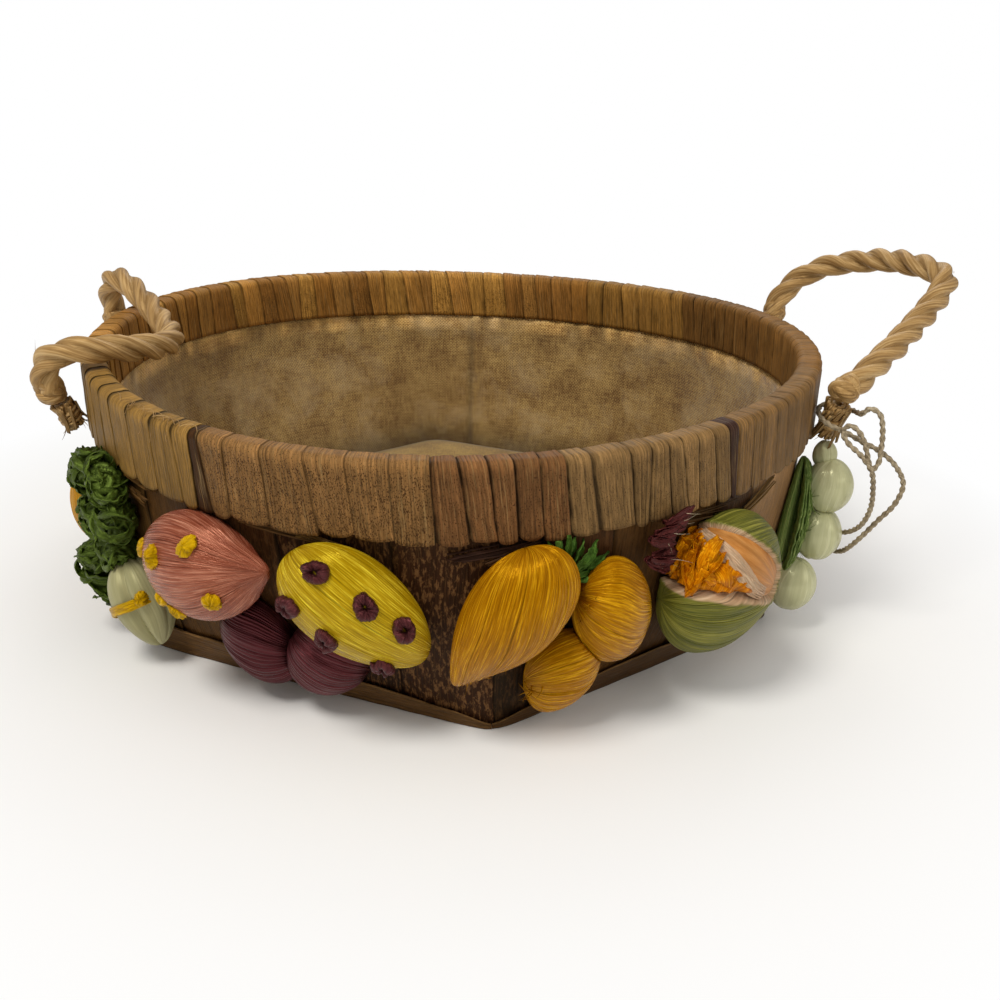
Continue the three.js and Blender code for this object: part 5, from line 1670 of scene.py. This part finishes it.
def add_loose_ends(name, thing, placed, pole, seed, count, length):
    """Fibre ends that stand off a golden fruit at one of its poles."""
    random = np.random.default_rng(seed)
    direction = unit(pole)
    shape = Shape()
    starts, ways = [], []
    for _ in range(count):
        aside = direction + 0.18 * random.normal(size=3)
        spot, normal = on_surface(thing, placed, aside, -0.3)
        starts.append(spot)
        ways.append(unit(normal + 0.5 * (direction @ placed[1]) + 0.45 * random.normal(size=3)))
    add_hairs(shape, starts, ways, random.uniform(0.5, 1.0, count) * length, seed + 1, 0.2, 0.5)
    make_piece(name, shape, GOLDEN_RAFFIA)


def add_garland(prefix, turn):
    """Sews the fruit on in the solids' order: each piece yields to those before it."""
    done = []

    def sew(thing, name, slot, material, **look):
        placed = wound(f"{prefix}{name}_wound", thing, turn, done, material, f"{prefix}{name}", slot, **look)
        done.append((thing, placed))
        return placed

    dotted = sew(DOTTED, "dotted_fruit", "yellow_raffia", YELLOW_RAFFIA, rows=80, seed=11, hide=0.45,
                 ridge=0.1)
    add_rosettes(f"{prefix}dotted_fruit_rosettes", DOTTED, dotted)
    salmon = sew(SALMON, "salmon_fruit", "salmon_raffia", SALMON_RAFFIA, pole=(1, 0.24, 0.18), rows=86,
                 point=5.0, seed=21, swell=0.4, blunt=1.6, point_way=(1, 0.3, 0.1))
    add_knots(f"{prefix}salmon_fruit_knots", SALMON, salmon)
    golden, golden_round, golden_small = (
        sew(thing, name, "golden_raffia", GOLDEN_RAFFIA, **look) for thing, name, look in (
            (GOLDEN, "golden_fruit", {"pole": (0.8, 0.6, 0), "rows": 80, "seed": 31, "hide": 0.35,
                                      "point": 1.6, "point_way": (1, 0.1, 0)}),
            (GOLDEN_ROUND, "golden_round", {"pole": (0.35, 0.93, 0.0), "bundles": 90, "rows": 64,
                                            "seed": 41, "hide": 0.3}),
            (GOLDEN_SMALL, "golden_small", {"pole": (0.33, -0.9, 0.2), "bundles": 80, "rows": 56,
                                            "seed": 51, "hide": 0.2})))
    for thing, name, pole, seed in ((PLUM_LEFT, "plum_left", (0.35, 0.94, 0), 61),
                                    (PLUM_RIGHT, "plum_right", (-0.1, 1, 0), 71)):
        sew(thing, name, "plum_raffia", PLUM_RAFFIA, pole=pole, bundles=80, rows=56, seed=seed,
            ridge=0.38, hide=0.3)
    bulb = sew(BULB, "pale_bulb", "pale_raffia", PALE_RAFFIA, bundles=60, rows=54, ridge=0.02,
               lobes=(5, 1.9, 0.6), seed=81, fill=0.7)
    add_stitch(f"{prefix}pale_bulb_stitch", BULB, bulb)
    melon = sew(MELON, "melon_rind", "melon_rind", MELON_RIND, pole=(1, 0.12, 0.1), bundles=150, rows=130,
                seed=91, sink=melon_sink, hide=0.25, ridge=0.12)
    add_melon_inside(prefix, melon)
    for thing in CURLS:
        done.append((thing, item_frame(thing, turn)))
    add_curls(prefix, turn)
    sew(ORANGE, "orange_fruit", "orange_raffia", ORANGE_RAFFIA, bundles=70, rows=44, seed=101, swell=1.6)
    add_petals(prefix, turn)
    add_sprig(prefix, turn)
    for place, thing in enumerate(PEAS):
        sew(thing, f"pea_{place + 1}", "pea_satin", PEA_SATIN, bundles=60, rows=40, ridge=0.012,
            seed=111 + place, fill=1.0, swell=0.8)
    sew(PEA_TIP, "pea_tip", "pea_satin", PEA_SATIN, bundles=40, rows=26, ridge=0.04, seed=121, fill=1.0)
    add_pod_leaf(prefix, turn, done)
    for name, thing, placed, pole, seed, count, length in (
            ("golden_small", GOLDEN_SMALL, golden_small, (0.33, -0.85, 0.41), 131, 9, 4.0),
            ("golden_fruit", GOLDEN, golden, (0.8, 0.6, 0.05), 141, 7, 3.0),
            ("golden_round", GOLDEN_ROUND, golden_round, (0.4, 0.85, 0.35), 151, 6, 2.5)):
        add_loose_ends(f"{prefix}{name}_ends", thing, placed, pole, seed, count, length)


add_garland("front_", 0.0)
add_garland("back_", math.pi)


# Frayed strips under the rim, and loose fibres on its crest

FRAYS = [
    # azimuths in degrees and heights in millimetres of a bundle's two ends, its strand count and tone
    ((-149.0, 50.5), (-134.0, 47.0), 16, "7A5628"), ((-142.0, 52.5), (-131.0, 51.5), 12, "8A6430"),
    ((-116.5, 52.5), (-104.5, 51.0), 12, "6E4C24"), ((-110.0, 52.8), (-100.0, 48.5), 7, "8A6836"),
    ((-88.5, 48.0), (-76.0, 52.0), 16, "3A2012"), ((-84.0, 46.5), (-77.0, 51.5), 8, "5A3A1C"),
    ((-45.5, 46.0), (-36.0, 52.5), 10, "7A5C30"), ((-58.0, 51.8), (-46.0, 50.0), 8, "5A4020"),
]
# Azimuths in degrees between which loose fibres stand on the crest, and their number
CREST_HAIR_AZIMUTHS = (-137.0, -118.0)
CREST_HAIRS = 15


def straw(name):
    """Dull split straw in a tone that the piece carries."""
    look = Surface(name, Roughness=0.6, Specular_IOR_Level=0.2)
    fibre = look.attribute("fibre", "Vector")
    fine = look.streaks(fibre, (1, 1, 0.06), 2.0, 3.0, 0.6)
    color = look.shade_over(look.attribute("tone", "Vector"), fine, 0.25, 0.75, 0.6, 1.35)
    # Painted shade darkens each strand where it is thinner.
    color = look.shade_over(color, look.attribute("groove"), 0.0, 1.0, 1.0, 0.5)
    return look.finish(color, None, fine, 0.15)


SPLIT_STRAW = straw("split_straw")


def add_frays(name, turn):
    """Bundles of split straw that hang out under the rim."""
    random = np.random.default_rng(700)
    shape = Shape()
    for (from_azimuth, from_z), (to_azimuth, to_z), count, code in FRAYS:
        for _ in range(count):
            share = np.linspace(random.uniform(0, 0.25), random.uniform(0.75, 1), 14)
            azimuth = np.radians(from_azimuth + (to_azimuth - from_azimuth) * share) + turn
            z = from_z + (to_z - from_z) * share + random.uniform(-1.8, 0.8)
            z = np.minimum(z + random.uniform(-1.5, 1.5) * share ** 2, RIM_FOOT - 0.8)
            radius = wall_radius(azimuth, z) + 0.55 + random.uniform(0, 0.9)
            line = polar(radius, azimuth, z)
            before = shape.count
            sweep(shape, line, 6, lambda a, s: 0.3 * (1 + 0.4 * np.cos(2 * a)) * (1 - 0.5 * s / s.max()),
                  seed=random.uniform(0, 60))
            tones = np.tile(tone(code) * random.uniform(0.7, 1.3), (shape.count - before, 1))
            shape.attributes.setdefault("tone", []).append(tones.astype(np.float32))
    make_piece(name, shape, SPLIT_STRAW)


add_frays("front_frayed_strips", 0.0)
add_frays("back_frayed_strips", math.pi)


def add_crest_hairs():
    """Loose fibres that stand on the rim's crest."""
    random = np.random.default_rng(710)
    shape = Shape()
    for _ in range(CREST_HAIRS):
        low = math.radians(random.uniform(*CREST_HAIR_AZIMUTHS))
        reach = random.uniform(4, 11)
        s = np.linspace(0, 1, 12)
        azimuth = low + reach / RIM_RADIUS * s * random.uniform(0.3, 1) * random.choice([-1, 1])
        inward = np.clip(1.8 * np.sin(s * random.uniform(1.5, 3.6)), -0.4, 3.0)
        fall = np.where(inward < 0.3, -reach * 0.6 * s ** 2 * random.uniform(0, 1), 0)
        radius = RIM_RADIUS - 0.6 - inward + 0.9 * (fall < -1.0)
        z = rim_top(azimuth) + 0.12 + 0.5 * np.sin(s * 3) + fall
        sweep(shape, polar(radius, azimuth, z), 4, lambda a, length: 0.07 + 0 * a * length,
              seed=random.uniform(0, 50), tint=any_tint(random))
    make_piece("rim_loose_fibres", shape, ROPE_STRAW)


add_crest_hairs()


# Cane hoops keep their solids

def cane(name):
    look = Surface(name)
    place = look.put("TexCoord").outputs["Object"]
    grain = look.streaks(place, (300, 300, 2200), 1.0, 3.0)
    spots = look.noise(place, 45.0, 3.0)
    color = look.ramp(look.add(look.times(grain, 0.6), look.times(spots, 0.4)),
                      (0.35, tone("7A5A30")), (0.65, tone("B8935A")))
    return look.finish(color, look.spread(grain, 0.3, 0.7, 0.45, 0.65), grain, 0.1)


CANE = cane("cane")
for hoop in ("outer_hoop", "inner_hoop"):
    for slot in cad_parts[hoop].material_slots:
        slot.material = CANE


# Light and floor

FLOOR_SIZE = 6000.0
FLOOR_LEVEL = 0.93
WORLD_LEVEL = 0.38
WORLD_TONE = (1.0, 0.97, 0.92)
# Distances from the middle between which the floor fades to white for the camera
FLOOR_WHITE_FROM = 95.0
FLOOR_WHITE_TO = 210.0
LAMP_TONE = (1.0, 0.96, 0.89)
LAMP_TARGET_HEIGHT = 40.0
LAMPS = [
    # name, place, disc size and power in watts
    ("key", (-270.0, -400.0, 760.0), 300.0, 4.3),
    ("fill", (520.0, -420.0, 380.0), 480.0, 1.0),
    ("back", (100.0, 560.0, 560.0), 520.0, 1.4),
]


def add_stage():
    floor = make_plain_floor()
    world = bpy.data.worlds.new("studio")
    bpy.context.scene.world = world
    world.use_nodes = True
    nodes, links = world.node_tree.nodes, world.node_tree.links
    nodes.clear()
    output = nodes.new("ShaderNodeOutputWorld")
    light, seen = nodes.new("ShaderNodeBackground"), nodes.new("ShaderNodeBackground")
    light.inputs["Color"].default_value = (*WORLD_TONE, 1)
    light.inputs["Strength"].default_value = WORLD_LEVEL
    seen.inputs["Color"].default_value = (1, 1, 1, 1)
    mix, path = nodes.new("ShaderNodeMixShader"), nodes.new("ShaderNodeLightPath")
    either = nodes.new("ShaderNodeMath")
    either.operation = "MAXIMUM"
    links.new(path.outputs["Is Camera Ray"], either.inputs[0])
    links.new(path.outputs["Is Transmission Ray"], either.inputs[1])
    links.new(either.outputs[0], mix.inputs["Fac"])
    links.new(light.outputs[0], mix.inputs[1])
    links.new(seen.outputs[0], mix.inputs[2])
    links.new(mix.outputs[0], output.inputs["Surface"])
    for name, place, size, power in LAMPS:
        add_lamp(name, place, size, power)


def add_lamp(name, place, size, power):
    data = bpy.data.lights.new(name, "AREA")
    data.shape = "DISK"
    data.size = size * MM
    data.energy = power
    data.color = LAMP_TONE
    lamp = add_object(name, data)
    lamp.location = Vector(place) * MM
    target = Vector((0, 0, LAMP_TARGET_HEIGHT * MM))
    lamp.rotation_euler = (target - lamp.location).to_track_quat("-Z", "Y").to_euler()


def make_plain_floor():
    half = FLOOR_SIZE * MM / 2
    mesh = bpy.data.meshes.new("floor")
    corners = [(-half, -half, 0), (half, -half, 0), (half, half, 0), (-half, half, 0)]
    mesh.from_pydata(corners, [], [(0, 1, 2, 3)])
    floor = add_object("floor", mesh)
    look = Surface("pale_floor", Roughness=0.9)
    look.shader.inputs["Base Color"].default_value = (FLOOR_LEVEL, FLOOR_LEVEL, FLOOR_LEVEL, 1)
    place = look.put("NewGeometry").outputs["Position"]
    away = look.put("VectorMath", place, operation="LENGTH").outputs["Value"]
    far = look.spread(away, FLOOR_WHITE_FROM * MM, FLOOR_WHITE_TO * MM)
    path = look.put("LightPath")
    seen = look.math("MAXIMUM", path.outputs["Is Camera Ray"], path.outputs["Is Transmission Ray"])
    white = look.put("Emission")
    mix = look.put("MixShader", look.times(far, seen), look.shader.outputs[0], white.outputs[0])
    look.tree.links.new(mix.outputs[0], look.tree.nodes["Material Output"].inputs["Surface"])
    mesh.materials.append(look.material)
    return floor


add_stage()
bpy.context.scene.view_settings.view_transform = "Standard"
